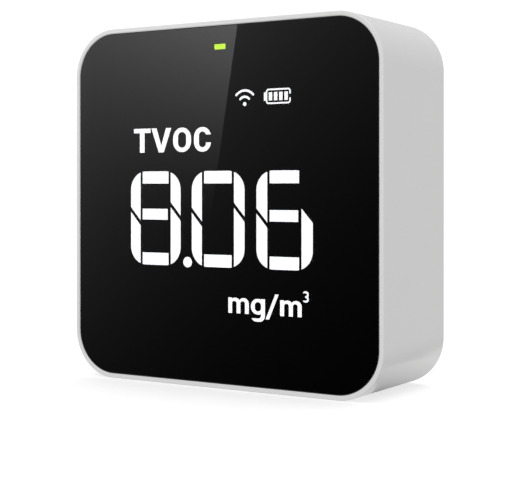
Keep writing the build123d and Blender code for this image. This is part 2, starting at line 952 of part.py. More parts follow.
def cut_cover_screw_holes(plate):
    places = mirrored_points(post_x, post_z)
    pockets = joined(disc(screw_head_radius + screw_head_gap, x, z) for x, z in places)
    holes = joined(disc(screw_radius + screw_pass_gap, x, z) for x, z in places)
    plate -= slab(pockets, cover_outer_y - head_pocket_depth, head_pocket_depth)
    plate -= slab(holes, post_end_y, cover_outer_y - post_end_y)
    pilots = joined(disc(ear_screw_radius + screw_hole_gap, x, z) for x, z in ear_places())
    depth = ear_screw_length - ear_thickness + pilot_end_gap / 4
    return plate - slab(pilots, sensor_rear_y, depth)


def make_rear_cover_screws():
    head_y = cover_outer_y - head_pocket_depth
    one = screw(screw_radius, cover_screw_length, screw_head_radius, screw_head_height)
    return Part() + [along_y(x, head_y, z, forwards=True) * one
                     for x, z in mirrored_points(post_x, post_z)]


def make_dust_screen():
    """Fine screen behind the right-hand slots."""
    sheet = Pos(vent_x, vent_z) * Rectangle(screen_size, screen_size)
    holes = joined(Pos(vent_x, vent_z) * place * Rectangle(screen_hole, screen_hole)
                   for place in GridLocations(screen_pitch, screen_pitch,
                                              screen_holes, screen_holes))
    return slab(sheet - holes, cover_inner_y - screen_thickness, screen_thickness)


# ---------------------------------------------------------------- power button
def make_power_button():
    """Dished cap with a retaining flange and a stem over the switch."""
    top_z = case_height - button_recess
    cap = block(Circle(button_radius), button_flange_z, top_z - button_flange_z)
    cap = fillet(cap.edges().sort_by(Axis.Z)[-1], button_edge_round)
    cap -= Pos(0, 0, top_z + button_dish_radius - button_dish) * Sphere(button_dish_radius)
    cap += block(Circle(button_flange_radius), button_flange_z, button_flange_thickness)
    stem_z = plunger_top_z + plunger_gap
    stem = Pos(0, switch_y) * Circle(button_stem_radius)
    return cap + block(stem, stem_z, button_flange_z - stem_z)


def make_switch_body():
    body = block(Pos(0, switch_y) * Rectangle(switch_width, switch_depth),
                 switch_top_z - switch_height, switch_height)
    bore = Pos(0, switch_y) * Circle(plunger_radius + plunger_clearance)
    depth = plunger_seat + button_travel + plunger_gap
    return body - block(bore, switch_top_z - depth, depth)


def make_switch_plunger():
    return block(Pos(0, switch_y) * Circle(plunger_radius), switch_top_z - plunger_seat,
                 plunger_seat + plunger_rise)


# ---------------------------------------------------------------- main board
def make_main_board():
    """Board with square notches round the corner posts."""
    outline = Pos(0, middle_z) * Rectangle(board_width, board_height)
    notch_x = post_x - post_radius - board_notch_gap
    notch_z = post_z - post_radius - board_notch_gap
    for sx in (-1, 1):
        for sz in (-1, 1):
            notch = Rectangle(board_width - 2 * notch_x, board_height - 2 * notch_z)
            outline -= Pos(sx * board_width / 2, middle_z + sz * board_height / 2) * notch
    outline -= joined(disc(screw_radius + screw_pass_gap / 2, x, z)
                      for x, z in mirrored_points(standoff_x, standoff_z))
    outline -= display_pin_holes()
    outline -= joined(disc(pin_hole_radius, x, z) for x, z in header_pin_places())
    outline -= joined(disc(pin_hole_radius, x, z) for x, z in gas_pin_places())
    outline -= joined(disc(pin_hole_radius, x, link_pin_z()) for x in link_pin_xs())
    return slab(outline, board_front_y, board_thickness)


def make_main_board_screws():
    one = screw(screw_radius, board_screw_length, screw_head_radius, screw_head_height)
    return Part() + [along_y(x, board_back_y, z, forwards=True) * one
                     for x, z in mirrored_points(standoff_x, standoff_z)]


def on_board(outline, height):
    """Component that stands on the main board's rear face."""
    return slab(outline, board_back_y, height)


def make_microcontroller():
    chip = on_board(panel(chip_size, chip_size, chip_corner, chip_x, chip_z), chip_height)
    chip = chamfer(chip.faces().sort_by(Axis.Y)[-1].edges(), chip_chamfer)
    reach = chip_size / 2 - chip_dot_inset
    dot = disc(chip_dot_radius, chip_x - reach, chip_z + reach)
    return chip - slab(dot, board_back_y + chip_height - chip_dot_depth, chip_dot_depth)


def make_wireless_board():
    board = panel(wireless_width, wireless_height, wireless_corner, wireless_x, wireless_z)
    return on_board(board, wireless_thickness)


def make_wireless_shield():
    outline = panel(shield_width, shield_height, shield_corner, wireless_x,
                    wireless_z - shield_drop)
    can = slab(outline, board_back_y + wireless_thickness, shield_thickness)
    return fillet(can.faces().sort_by(Axis.Y)[-1].edges(), shield_round)


def make_board_capacitors():
    row_z = chip_z - chip_size / 2 - capacitor_row_gap
    first = chip_x - (capacitor_count - 1) * capacitor_pitch / 2
    chips = [Pos(first + index * capacitor_pitch, row_z)
             * Rectangle(capacitor_width, capacitor_length) for index in range(capacitor_count)]
    return on_board(joined(chips), capacitor_height)


# ---------------------------------------------------------------- charging
def link_pin_xs():
    first = -(link_pin_count - 1) * link_pin_pitch / 2
    return [first + index * link_pin_pitch for index in range(link_pin_count)]


def link_pin_z():
    return charge_top_z + link_pin_rise


def make_charge_board():
    length = cover_inner_y - charge_board_gap - charge_board_front
    outline = Pos(0, charge_board_front + length / 2) * Rectangle(charge_board_width, length)
    outline -= joined(Pos(side * charge_screw_x, charge_screw_y)
                      * Circle(screw_radius + screw_pass_gap / 2) for side in (-1, 1))
    outline -= joined(Pos(x, charge_board_front + link_pin_inset) * Circle(pin_hole_radius)
                      for x in link_pin_xs())
    return block(outline, charge_board_z, small_board_thickness)


def make_charge_board_screws():
    one = screw(screw_radius, charge_screw_length, screw_head_radius, screw_head_height)
    return Part() + [Pos(side * charge_screw_x, charge_screw_y, charge_top_z) * Rot(180, 0, 0)
                     * one for side in (-1, 1)]


def make_link_pins():
    """Angled pins between the charging board and the main board."""
    foot_y = charge_board_front + link_pin_inset
    start_y = board_front_y - pin_tail
    half = link_pin_width / 2
    pins = []
    for x in link_pin_xs():
        run = slab(Pos(x, link_pin_z()) * Rectangle(link_pin_width, link_pin_width), start_y,
                   foot_y + half - start_y)
        low = charge_board_z - pin_tail
        drop = block(Pos(x, foot_y) * Rectangle(link_pin_width, link_pin_width), low,
                     link_pin_z() + half - low)
        pins.append(run + drop)
    return Part() + pins


def socket_outline(inset):
    return rounded_box(-socket_width / 2 + inset, socket_z - socket_height / 2 + inset,
                       socket_width - 2 * inset, socket_height - 2 * inset,
                       socket_height * socket_round_share - inset)


def make_usb_shell():
    shell = slab(socket_outline(0), socket_y, socket_length)
    hollow_y = socket_y + socket_wall
    return shell - slab(socket_outline(socket_wall), hollow_y, socket_length - socket_wall)


def make_usb_tongue():
    """Insulating base with the contact tongue."""
    base_y = socket_y + socket_wall
    base = slab(socket_outline(socket_wall), base_y, socket_base_length)
    tongue = Pos(0, socket_z) * Rectangle(tongue_width, tongue_thickness)
    return base + slab(tongue, base_y + socket_base_length, tongue_length)


def make_charger_chip():
    y = socket_y - charger_chip_gap - charger_chip_size / 2
    chip = Pos(charger_chip_x, y) * Rectangle(charger_chip_size, charger_chip_size)
    return block(chip, charge_top_z, charger_chip_height)


# ---------------------------------------------------------------- battery
def make_battery_cell():
    cell = slab(panel(battery_width, battery_height, battery_corner, battery_x,
                      battery_base + battery_height / 2), battery_y, battery_thickness)
    front = cell.faces().sort_by(Axis.Y)[0].edges()
    cell = fillet(front, battery_round)
    rear = cell.faces().sort_by(Axis.Y)[-1].edges()
    return fillet(rear, battery_round)


def make_battery_tape():
    tape = panel(battery_width - 2 * tape_margin, battery_height - 2 * tape_margin,
                 tape_corner, battery_x, battery_base + battery_height / 2)
    return slab(tape, board_back_y, tape_thickness)


def make_battery_socket():
    """Shrouded socket on the main board, open upwards for the plug."""
    body = on_board(Pos(plug_x, plug_z) * Rectangle(socket_body_width, socket_body_height),
                    socket_body_thickness)
    gap = plug_gap
    space = strip(plug_x - plug_width / 2 - gap, plug_x + plug_width / 2 + gap,
                  plug_z - socket_body_height / 2,
                  plug_z - socket_body_height / 2 + plug_height + gap)
    return body - slab(space, board_back_y + plug_lift - gap,
                       plug_thickness + 2 * gap)


def make_battery_plug():
    low = plug_z - socket_body_height / 2
    outline = strip(plug_x - plug_width / 2, plug_x + plug_width / 2, low, low + plug_height)
    return slab(outline, board_back_y + plug_lift, plug_thickness)


def make_battery_lead(side):
    """One wire from the battery's end to the plug's lower face."""
    battery_end = battery_x + battery_width / 2
    exit_y = battery_y + battery_thickness / 2 + side * lead_pitch / 2
    plug_y = board_back_y + plug_lift + plug_thickness / 2
    plug_low = plug_z - socket_body_height / 2 - lead_exit_gap
    end_x = plug_x + side * lead_pitch / 2
    low_z = plug_low - lead_run
    points = (
        (battery_end + lead_exit_gap, exit_y, low_z + side * lead_radius),
        (end_x, exit_y, low_z + side * lead_radius),
        (end_x, plug_y, low_z + lead_run * lead_bend_share),
        (end_x, plug_y, plug_low),
    )
    path = FilletPolyline(*points, radius=lead_bend_radius)
    section = Plane(origin=path @ 0, z_dir=path % 0) * Circle(lead_radius)
    return sweep(section, path=path)


# ---------------------------------------------------------------- particle sensor
def sensor_outline(inset=0.0):
    return panel(sensor_width - 2 * inset, sensor_height - 2 * inset,
                 sensor_corner - inset, sensor_x, vent_z)


def ear_places():
    """Ear screws: one above and one below the tray, on opposite sides of the fan."""
    high = vent_z + sensor_height / 2 + ear_reach
    low = vent_z - sensor_height / 2 - ear_reach
    return [(fan_x - ear_x, high), (fan_x + ear_x, low)]


def ear_posts():
    return slab(joined(disc(ear_radius, x, z) for x, z in ear_places()), sensor_rear_y,
                gasket_thickness)


def ear_outlines():
    pieces = []
    for x, z in ear_places():
        inner_z = vent_z + (sensor_height / 2 - sensor_wall) * (1 if z > vent_z else -1)
        pieces.append(disc(ear_radius, x, z))
        pieces.append(strip(x - ear_radius, x + ear_radius, min(z, inner_z), max(z, inner_z)))
    return joined(pieces)


def make_sensor_case():
    """Tray that holds the fan, the air channel and the laser, open to the front."""
    tray = slab(sensor_outline(), sensor_front_y, sensor_tray_depth)
    tray -= slab(sensor_outline(sensor_wall), sensor_front_y, sensor_tray_depth - sensor_wall)
    tray -= slab(disc(fan_bore_radius, fan_x, fan_z), fan_rear_y, sensor_wall)
    inlet = Pos(inlet_x, vent_z) * Rectangle(inlet_width, inlet_height)
    tray -= slab(inlet, fan_rear_y, sensor_wall)
    ears = slab(ear_outlines(), sensor_rear_y - ear_thickness, ear_thickness)
    ears -= slab(sensor_outline(sensor_wall / 2), sensor_rear_y - ear_thickness, ear_thickness)
    tray += ears
    tray -= slab(joined(disc(ear_screw_radius + screw_pass_gap / 2, x, z)
                        for x, z in ear_places()), sensor_rear_y - ear_thickness, ear_thickness)
    wall_x = inlet_x - inlet_width / 2 - channel_wall
    top = vent_z + sensor_height / 2 - sensor_wall / 2
    wall = strip(wall_x - channel_wall, wall_x, sensor_base + channel_opening, top)
    depth = sensor_tray_depth - sensor_wall / 2
    tray += slab(wall, sensor_front_y, depth)
    return tray + laser_block()


def laser_axis_y():
    return sensor_front_y + sensor_tray_depth / 2


def laser_low_z():
    return vent_z + sensor_height / 2 - sensor_wall - laser_block_height


def laser_block():
    """Block that holds the laser over the measuring chamber."""
    half = laser_radius + laser_bore_gap + laser_block_wall
    low = laser_low_z()
    top = vent_z + sensor_height / 2 - sensor_wall / 2
    outline = strip(laser_x - half, laser_x + half, low, top)
    solid = slab(outline, laser_axis_y() - half, fan_rear_y + sensor_wall / 2
                 - laser_axis_y() + half)
    bore = Pos(laser_x, laser_axis_y()) * Circle(laser_radius + laser_bore_gap)
    depth = laser_length + laser_block_wall / 2
    return solid - block(bore, low, depth)


def make_laser_diode():
    low = laser_low_z() + laser_block_wall / 2
    place = Pos(laser_x, laser_axis_y())
    can = block(place * Circle(laser_radius), low, laser_length * laser_can_share)
    return can - block(place * Circle(laser_radius * laser_lens_share), low, laser_lens_depth)


def header_pin_places():
    first = -(header_columns - 1) * header_pitch / 2
    places = []
    for row in (-0.5, 0.5):
        for index in range(header_columns):
            places.append((header_x + first + index * header_pitch,
                           header_z + row * header_pitch))
    return places


def header_outline(margin):
    return Pos(header_x, header_z) * Rectangle(
        (header_columns - 1) * header_pitch + 2 * margin, header_pitch + 2 * margin)


def make_sensor_board():
    outline = sensor_outline()
    outline -= joined(disc(pin_hole_radius, x, z) for x, z in header_pin_places())
    return slab(outline, sensor_board_y, small_board_thickness)


def make_photodiode():
    place = Pos(laser_x, vent_z) * Rectangle(photodiode_size, photodiode_size)
    return slab(place, sensor_front_y, photodiode_height)


def make_sensor_lid():
    """Thin steel cover over the sensor's board, with a skirt round the tray."""
    grow = -lid_gap - lid_thickness
    lid = slab(sensor_outline(grow), lid_y, lid_skirt + lid_thickness)
    hollow = sensor_outline(-lid_gap)
    lid -= slab(hollow, lid_y + lid_thickness, lid_skirt)
    return lid - slab(header_outline(header_block_margin + header_block_gap), lid_y,
                      lid_thickness)


def make_sensor_header():
    """Plastic socket on the main board."""
    outline = header_outline(header_block_margin)
    outline -= joined(disc(pin_hole_radius, x, z) for x, z in header_pin_places())
    return slab(outline, board_back_y, lid_y - header_block_gap - board_back_y)


def make_sensor_pins():
    pins = joined(Pos(x, z) * Rectangle(header_pin_width, header_pin_width)
                  for x, z in header_pin_places())
    start_y = board_front_y - pin_tail
    return slab(pins, start_y, sensor_front_y + pin_tail - start_y)


def make_sensor_screws():
    one = screw(ear_screw_radius, ear_screw_length, ear_head_radius, ear_head_height)
    return Part() + [along_y(x, sensor_rear_y - ear_thickness, z) * one
                     for x, z in ear_places()]


def make_sensor_gaskets():
    """Foam rings between the sensor and the rear cover."""
    outlet = panel(fan_size, fan_size, fan_corner, fan_x, fan_z)
    outlet -= disc(fan_bore_radius, fan_x, fan_z)
    inlet = Pos(inlet_x, vent_z) * Rectangle(inlet_width + 2 * gasket_width,
                                             inlet_height + 2 * gasket_width)
    inlet -= Pos(inlet_x, vent_z) * Rectangle(inlet_width, inlet_height)
    rings = slab(outlet, sensor_rear_y, gasket_thickness)
    return rings + slab(inlet, sensor_rear_y, gasket_thickness - screen_thickness)


# ---------------------------------------------------------------- fan
def fan_place(offset):
    """Places a piece made along +Z on the fan's axis, offset from its front face."""
    return along_y(fan_x, fan_y + offset, fan_z)


def tube_length():
    return fan_depth - fan_plate_thickness - hub_end_gap - hub_wall - hub_gap


def make_fan_frame():
    body = Box(fan_size, fan_size, fan_depth, align=(Align.CENTER, Align.CENTER, Align.MIN))
    body = fillet(body.edges().filter_by(Axis.Z), fan_corner)
    body -= extrude(Circle(fan_bore_radius), amount=fan_depth)
    corner = fan_size / 2 - fan_hole_inset
    for place in GridLocations(2 * corner, 2 * corner, 2, 2):
        body -= extrude(place * Circle(fan_hole_radius), amount=fan_depth)
    body += extrude(Circle(fan_plate_radius), amount=fan_plate_thickness)
    for angle in fan_strut_angles:
        strut = Rot(0, 0, angle) * Pos(fan_bore_radius / 2, 0) * Rectangle(
            fan_bore_radius + 1, fan_strut_width)
        body += extrude(strut, amount=fan_plate_thickness)
    tube = Circle(bearing_radius + bearing_tube_wall)
    body += extrude(tube, amount=fan_plate_thickness + tube_length())
    seat_z = fan_plate_thickness / 2
    seat = extrude(Circle(bearing_radius), amount=fan_depth)
    body -= Pos(0, 0, seat_z) * seat
    return fan_place(0) * body


def make_fan_bearing():
    sleeve = Circle(bearing_radius - bearing_fit_gap) - Circle(shaft_radius + shaft_clearance)
    height = fan_plate_thickness / 2 + tube_length()
    return fan_place(fan_plate_thickness / 2) * extrude(sleeve, amount=height)


def make_fan_shaft():
    start = fan_plate_thickness / 2 + hub_gap
    end = fan_depth - hub_end_gap - hub_wall / 2
    return fan_place(start) * extrude(Circle(shaft_radius), amount=end - start)


def make_fan_rotor():
    """Hub cup that opens towards the plate, with pitched blades."""
    low = fan_plate_thickness + hub_gap
    high = fan_depth - hub_end_gap
    hub = Pos(0, 0, low) * extrude(Circle(hub_radius), amount=high - low)
    hollow = extrude(Circle(hub_radius - hub_wall), amount=high - low - hub_wall)
    hub -= Pos(0, 0, low) * hollow
    hub -= Pos(0, 0, high - hub_wall) * extrude(
        Circle(shaft_radius + bearing_fit_gap / 2), amount=hub_wall / 2)
    tip = fan_bore_radius - fan_tip_clearance
    root = hub_radius - hub_wall / 2
    sweep_ring = extrude(Circle(tip) - Circle(root), amount=blade_height)
    sweep_ring = Pos(0, 0, high - blade_height) * sweep_ring
    plate = Pos((tip + root) / 2, 0, 0) * Rot(blade_pitch_angle, 0, 0) * Box(
        tip - root + 1, blade_chord, blade_thickness)
    blade = (Pos(0, 0, high - blade_height / 2) * plate) & sweep_ring
    rotor = hub
    for index in range(blade_count):
        rotor += Rot(0, 0, index * 360 / blade_count) * blade
    return fan_place(0) * rotor


def make_fan_stator():
    """Four-pole wound core on the bearing tube."""
    inner = bearing_radius + bearing_tube_wall + bearing_fit_gap
    core = Circle(stator_core_radius)
    for index in range(stator_pole_count):
        turn = Rot(0, 0, index * 360 / stator_pole_count)
        core += turn * Pos(stator_radius / 2, 0) * Rectangle(stator_radius, stator_pole_width)
    core -= Circle(inner)
    return fan_place(fan_plate_thickness + hub_gap) * extrude(core, amount=stator_height)


# ---------------------------------------------------------------- gas sensor
def gas_pin_places():
    first = -(gas_pin_count - 1) * gas_pin_pitch / 2
    return [(gas_x + first + index * gas_pin_pitch, vent_z - gas_pin_row)
            for index in range(gas_pin_count)]


def make_gas_sensor_body():
    """Metal can on a plastic base, with a pierced top."""
    body = slab(disc(gas_radius, gas_x, vent_z), gas_y, gas_base_height)
    can = slab(disc(gas_can_radius, gas_x, vent_z), gas_y, gas_height)
    can = fillet(can.edges().sort_by(Axis.Y)[-1], gas_can_round)
    body += can
    grid = HexLocations(gas_mesh_pitch / 2, gas_mesh_rows, gas_mesh_rows, major_radius=False)
    holes = joined(Pos(gas_x, vent_z) * place * Circle(gas_mesh_radius) for place in grid)
    return body - slab(holes, gas_y + gas_height - gas_top_thickness, gas_top_thickness)


def make_gas_sensor_board():
    outline = panel(gas_board_width, gas_board_height, gas_board_corner, gas_x,
                    vent_z - gas_board_drop)
    outline -= joined(disc(pin_hole_radius, x, z) for x, z in gas_pin_places())
    return slab(outline, gas_board_y, small_board_thickness)


def make_gas_sensor_pins():
    pins = joined(Pos(x, z) * Rectangle(gas_pin_width, gas_pin_width)
                  for x, z in gas_pin_places())
    start_y = board_front_y - pin_tail
    return slab(pins, start_y, gas_board_y + small_board_thickness + pin_tail - start_y)


# ---------------------------------------------------------------- output
def make_all():
    marks = display_marks()
    spots = light_spots(marks)
    nodes = {
        "housing": make_housing(),
        "rear_cover": make_rear_cover(),
        "rear_cover_screws": make_rear_cover_screws(),
        "dust_screen": make_dust_screen(),
        "front_window": make_front_window(),
        "window_print": make_window_print(),
        "window_adhesive": make_window_adhesive(),
        "indicator_light_pipe": make_indicator_light_pipe(),
        "indicator_led": make_indicator_led(),
        "display_reflector": make_display_reflector(marks, spots),
        "display_leds": make_display_leds(spots),
        "display_board": make_display_board(),
        "display_pins": make_display_pins(),
        "power_button": make_power_button(),
        "switch_body": make_switch_body(),
        "switch_plunger": make_switch_plunger(),
        "main_board": make_main_board(),
        "main_board_screws": make_main_board_screws(),
        "microcontroller": make_microcontroller(),
        "wireless_board": make_wireless_board(),
        "wireless_shield": make_wireless_shield(),
        "board_capacitors": make_board_capacitors(),
        "charge_board": make_charge_board(),
        "charge_board_screws": make_charge_board_screws(),
        "charge_link_pins": make_link_pins(),
        "usb_shell": make_usb_shell(),
        "usb_tongue": make_usb_tongue(),
        "charger_chip": make_charger_chip(),
        "battery_cell": make_battery_cell(),
        "battery_tape": make_battery_tape(),
        "battery_socket": make_battery_socket(),
        "battery_plug": make_battery_plug(),
        "battery_lead_red": make_battery_lead(-1),
        "battery_lead_black": make_battery_lead(1),
        "sensor_case": make_sensor_case(),
        "sensor_lid": make_sensor_lid(),
        "sensor_board": make_sensor_board(),
        "sensor_header": make_sensor_header(),
        "sensor_pins": make_sensor_pins(),
        "sensor_screws": make_sensor_screws(),
        "sensor_gaskets": make_sensor_gaskets(),
        "laser_diode": make_laser_diode(),
        "photodiode": make_photodiode(),
        "fan_frame": make_fan_frame(),
        "fan_rotor": make_fan_rotor(),
        "fan_shaft": make_fan_shaft(),
        "fan_bearing": make_fan_bearing(),
        "fan_stator": make_fan_stator(),
        "gas_sensor_body": make_gas_sensor_body(),
        "gas_sensor_board": make_gas_sensor_board(),
        "gas_sensor_pins": make_gas_sensor_pins(),
    }
    nodes.update(make_display_marks(marks))
    return nodes


os.makedirs("parts", exist_ok=True)
for name, solid in make_all().items():
    export_step(solid, "parts/" + name + ".step")
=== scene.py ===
from math import cos, pi, radians, sin

import bmesh
import bpy
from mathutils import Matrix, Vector


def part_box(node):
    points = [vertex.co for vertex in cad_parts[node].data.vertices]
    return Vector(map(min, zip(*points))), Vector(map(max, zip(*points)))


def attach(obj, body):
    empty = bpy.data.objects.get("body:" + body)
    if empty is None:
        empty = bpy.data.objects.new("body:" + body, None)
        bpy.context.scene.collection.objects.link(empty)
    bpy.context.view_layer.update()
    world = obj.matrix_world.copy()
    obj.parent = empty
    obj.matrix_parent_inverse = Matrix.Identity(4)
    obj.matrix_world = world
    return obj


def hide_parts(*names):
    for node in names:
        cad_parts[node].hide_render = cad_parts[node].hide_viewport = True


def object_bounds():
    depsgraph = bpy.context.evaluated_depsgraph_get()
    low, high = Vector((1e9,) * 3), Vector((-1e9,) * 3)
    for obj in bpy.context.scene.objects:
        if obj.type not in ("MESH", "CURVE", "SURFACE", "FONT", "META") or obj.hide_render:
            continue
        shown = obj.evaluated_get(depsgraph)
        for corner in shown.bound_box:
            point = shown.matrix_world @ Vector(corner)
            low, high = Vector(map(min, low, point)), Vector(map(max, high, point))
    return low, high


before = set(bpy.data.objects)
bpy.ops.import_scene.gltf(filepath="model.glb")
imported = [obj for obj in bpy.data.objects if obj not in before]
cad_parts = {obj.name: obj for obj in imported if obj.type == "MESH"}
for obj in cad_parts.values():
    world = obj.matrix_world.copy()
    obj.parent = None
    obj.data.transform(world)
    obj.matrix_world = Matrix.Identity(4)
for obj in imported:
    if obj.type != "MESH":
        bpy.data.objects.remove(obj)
cad_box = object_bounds()


# ------------------------------------------------------------------ white case
# A moulded tube closed by a rear cover, both in satin white ABS straight from a finely
# textured tool. The button in its top is moulded in the same plastic, and its dished face
# is polished a little by fingers.
mm = 0.001
plastic_ior = 1.5
shell_white = (0.800, 0.800, 0.797)
shell_shade = (0.776, 0.776, 0.772)
shell_rough = 0.15
button_rough = 0.10
clouds_in_metre = 120.0       # faint clouds in the colour of moulded plastic
cloud_dulling = 0.10          # a cloud makes it this much rougher
pits_in_metre = 4200.0        # pits left by the tool's texture
pit_dulling = 0.05
pit_depth = 0.01 * mm


class Shade:
    """One socket of a material's nodes; sums written on it add Math nodes."""

    def __init__(self, tree, socket=None):
        self.tree = tree
        self.socket = socket

    def node(self, kind, settings=None, inputs=None, output=0):
        """Adds any node: its settings first, then the values or links of its sockets."""
        made = self.tree.nodes.new(kind)
        for name, value in (settings or {}).items():
            setattr(made, name, value)
        for name, value in (inputs or {}).items():
            if isinstance(value, Shade):
                self.tree.links.new(value.socket, made.inputs[name])
            else:
                made.inputs[name].default_value = value
        return Shade(self.tree, made.outputs[output])

    def math(self, operation, first, second=0.0):
        return self.node("ShaderNodeMath", {"operation": operation}, {0: first, 1: second})

    def __add__(self, other):
        return self.math("ADD", self, other)

    def __radd__(self, other):
        return self.math("ADD", other, self)

    def __sub__(self, other):
        return self.math("SUBTRACT", self, other)

    def __rsub__(self, other):
        return self.math("SUBTRACT", other, self)

    def __mul__(self, other):
        return self.math("MULTIPLY", self, other)

    def __rmul__(self, other):
        return self.math("MULTIPLY", other, self)

    def __truediv__(self, other):
        return self.math("DIVIDE", self, other)

    def __rtruediv__(self, other):
        return self.math("DIVIDE", other, self)

    def __pow__(self, other):
        return self.math("POWER", self, other)

    def __rpow__(self, other):
        return self.math("POWER", other, self)

    def __gt__(self, other):
        return self.math("GREATER_THAN", self, other)

    def __lt__(self, other):
        return self.math("LESS_THAN", self, other)


def finish(name, plain, varied):
    """A finish whose shader takes plain values as they are, and varied ones from nodes."""
    material = bpy.data.materials.new(name)
    material.use_nodes = True
    tree = material.node_tree
    shader = next(node for node in tree.nodes if node.type == "BSDF_PRINCIPLED")
    for socket, value in plain.items():
        shader.inputs[socket].default_value = value
    for socket, shade in varied(Shade(tree)).items():
        tree.links.new(shade.socket, shader.inputs[socket])
    return material


def put_on(material, *nodes):
    """Gives carried-over pieces their finish."""
    for node in nodes:
        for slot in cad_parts[node].material_slots:
            slot.material = material


def place_on(shade):
    """The place on the piece, in metres from the frame's origin."""
    return shade.node("ShaderNodeTexCoord", output="Object")


def grain(shade, in_metre, detail=3.0, stretch=(1, 1, 1)):
    """Cloudy noise fixed to the piece, with about that many clouds in a metre."""
    place = shade.node("ShaderNodeMapping", None, {"Vector": place_on(shade), "Scale": stretch})
    return shade.node("ShaderNodeTexNoise", None, {
        "Vector": place, "Scale": in_metre, "Detail": detail})


def two_tone(shade, mask, dark, light):
    """Blends two colours by a mask from 0 to 1."""
    return shade.node("ShaderNodeMix", {"data_type": "RGBA"}, {
        0: mask, 6: (*dark, 1), 7: (*light, 1)}, output=2)


def relief(shade, height, strength, depth):
    """Turns a height from 0 to 1 into a bump of the given depth in metres."""
    return shade.node("ShaderNodeBump", None, {
        "Height": height, "Strength": strength, "Distance": depth})


def moulded(dark, light, rough, strength, pits=pits_in_metre):
    """Moulded plastic: faint clouds in its colour and gloss over a fine tool texture."""
    def surface(shade):
        clouds = grain(shade, clouds_in_metre, detail=5.0)
        texture = grain(shade, pits)
        return {
            "Base Color": two_tone(shade, clouds, dark, light),
            "Roughness": rough + clouds * cloud_dulling + texture * pit_dulling,
            "Normal": relief(shade, texture, strength, pit_depth),
        }
    return surface


put_on(finish("white_shell", {"IOR": plastic_ior},
              moulded(shell_shade, shell_white, shell_rough, strength=0.10)),
       "housing", "rear_cover")
put_on(finish("polished_white_shell", {"IOR": plastic_ior},
              moulded(shell_shade, shell_white, button_rough, strength=0.05)),
       "power_button")


# ------------------------------------------------------------------ front window
# A sheet of smoked clear acrylic, polished, with opaque black ink printed on its back
# round the view of the display. A foam ring sticks it to the ledge in the case.
acrylic_ior = 1.49
acrylic_tint = (0.05, 0.05, 0.0515)
smears_in_metre = 90.0
smear_sharpness = 4.0         # most of the sheet is clean, and a few smears stand out
smear_dulling = 0.05
ink_black = (0.0035, 0.0035, 0.0040)
ink_grey = (0.0055, 0.0055, 0.0060)
ink_rough = 0.55
pinholes_in_metre = 2600.0
pinhole_dulling = 0.2
foam_black = (0.012, 0.012, 0.012)
foam_grey = (0.035, 0.035, 0.035)
foam_rough = 0.8
foam_cells_in_metre = 2800.0
foam_cell_dulling = 0.15
foam_cell_depth = 0.08 * mm


def acrylic_surface(shade):
    smears = grain(shade, smears_in_metre, detail=5.0)
    return {"Roughness": smears ** smear_sharpness * smear_dulling}


def ink_surface(shade):
    pinholes = grain(shade, pinholes_in_metre, detail=4.0)
    return {
        "Base Color": two_tone(shade, pinholes, ink_black, ink_grey),
        "Roughness": ink_rough + pinholes * pinhole_dulling,
        "Normal": relief(shade, pinholes, 0.2, pit_depth),
    }


def cells(shade, in_metre):
    """Round cells fixed to the piece, dark in the middle."""
    return shade.node("ShaderNodeTexVoronoi", None, {
        "Vector": place_on(shade), "Scale": in_metre})


def foam_surface(shade):
    foam = cells(shade, foam_cells_in_metre)
    return {
        "Base Color": two_tone(shade, foam, foam_black, foam_grey),
        "Roughness": foam_rough + foam * foam_cell_dulling,
        "Normal": relief(shade, foam, 0.6, foam_cell_depth),
    }


black_ink = finish("black_ink", {"Specular IOR Level": 0.0}, ink_surface)
put_on(finish("smoked_window", {
    "Base Color": (*acrylic_tint, 1), "IOR": acrylic_ior, "Transmission Weight": 1.0},
    acrylic_surface), "front_window")
put_on(black_ink, "window_print")
put_on(finish("black_foam", {}, foam_surface), "window_adhesive", "sensor_gaskets",
       "battery_tape")


# ------------------------------------------------------------------ lit marks
# Each lit mark is a piece of white diffusing resin cast into a pocket of a black-faced
# reflector, with lamp chips behind it. The two segments that are off are smoked resin.
mark_glow = 23.0
resin_body = (0.75, 0.75, 0.75)
resin_cool = (0.97, 0.98, 1.0)
resin_white = (1.0, 1.0, 1.0)
resin_rough = 0.4
smoked_black = (0.0035, 0.0035, 0.0040)
smoked_grey = (0.0060, 0.0060, 0.0065)
smoked_rough = 0.5
flecks_in_metre = 1500.0
fleck_dulling = 0.1


def resin_surface(shade):
    flecks = grain(shade, flecks_in_metre)
    return {
        "Emission Color": two_tone(shade, flecks, resin_cool, resin_white),
        "Roughness": resin_rough + flecks * fleck_dulling,
    }


def smoked_surface(shade):
    flecks = grain(shade, flecks_in_metre)
    return {
        "Base Color": two_tone(shade, flecks, smoked_black, smoked_grey),
        "Roughness": smoked_rough + flecks * fleck_dulling,
    }


put_on(finish("lit_resin", {
    "Base Color": (*resin_body, 1), "Specular IOR Level": 0.0,
    "Emission Strength": mark_glow}, resin_surface),
    "digit_left", "digit_middle", "digit_right", "decimal_point", "quantity_label",
    "unit_label", "wireless_icon", "battery_icon")
put_on(finish("dark_resin", {"Specular IOR Level": 0.0}, smoked_surface),
       "unlit_segments")
put_on(black_ink, "display_reflector")


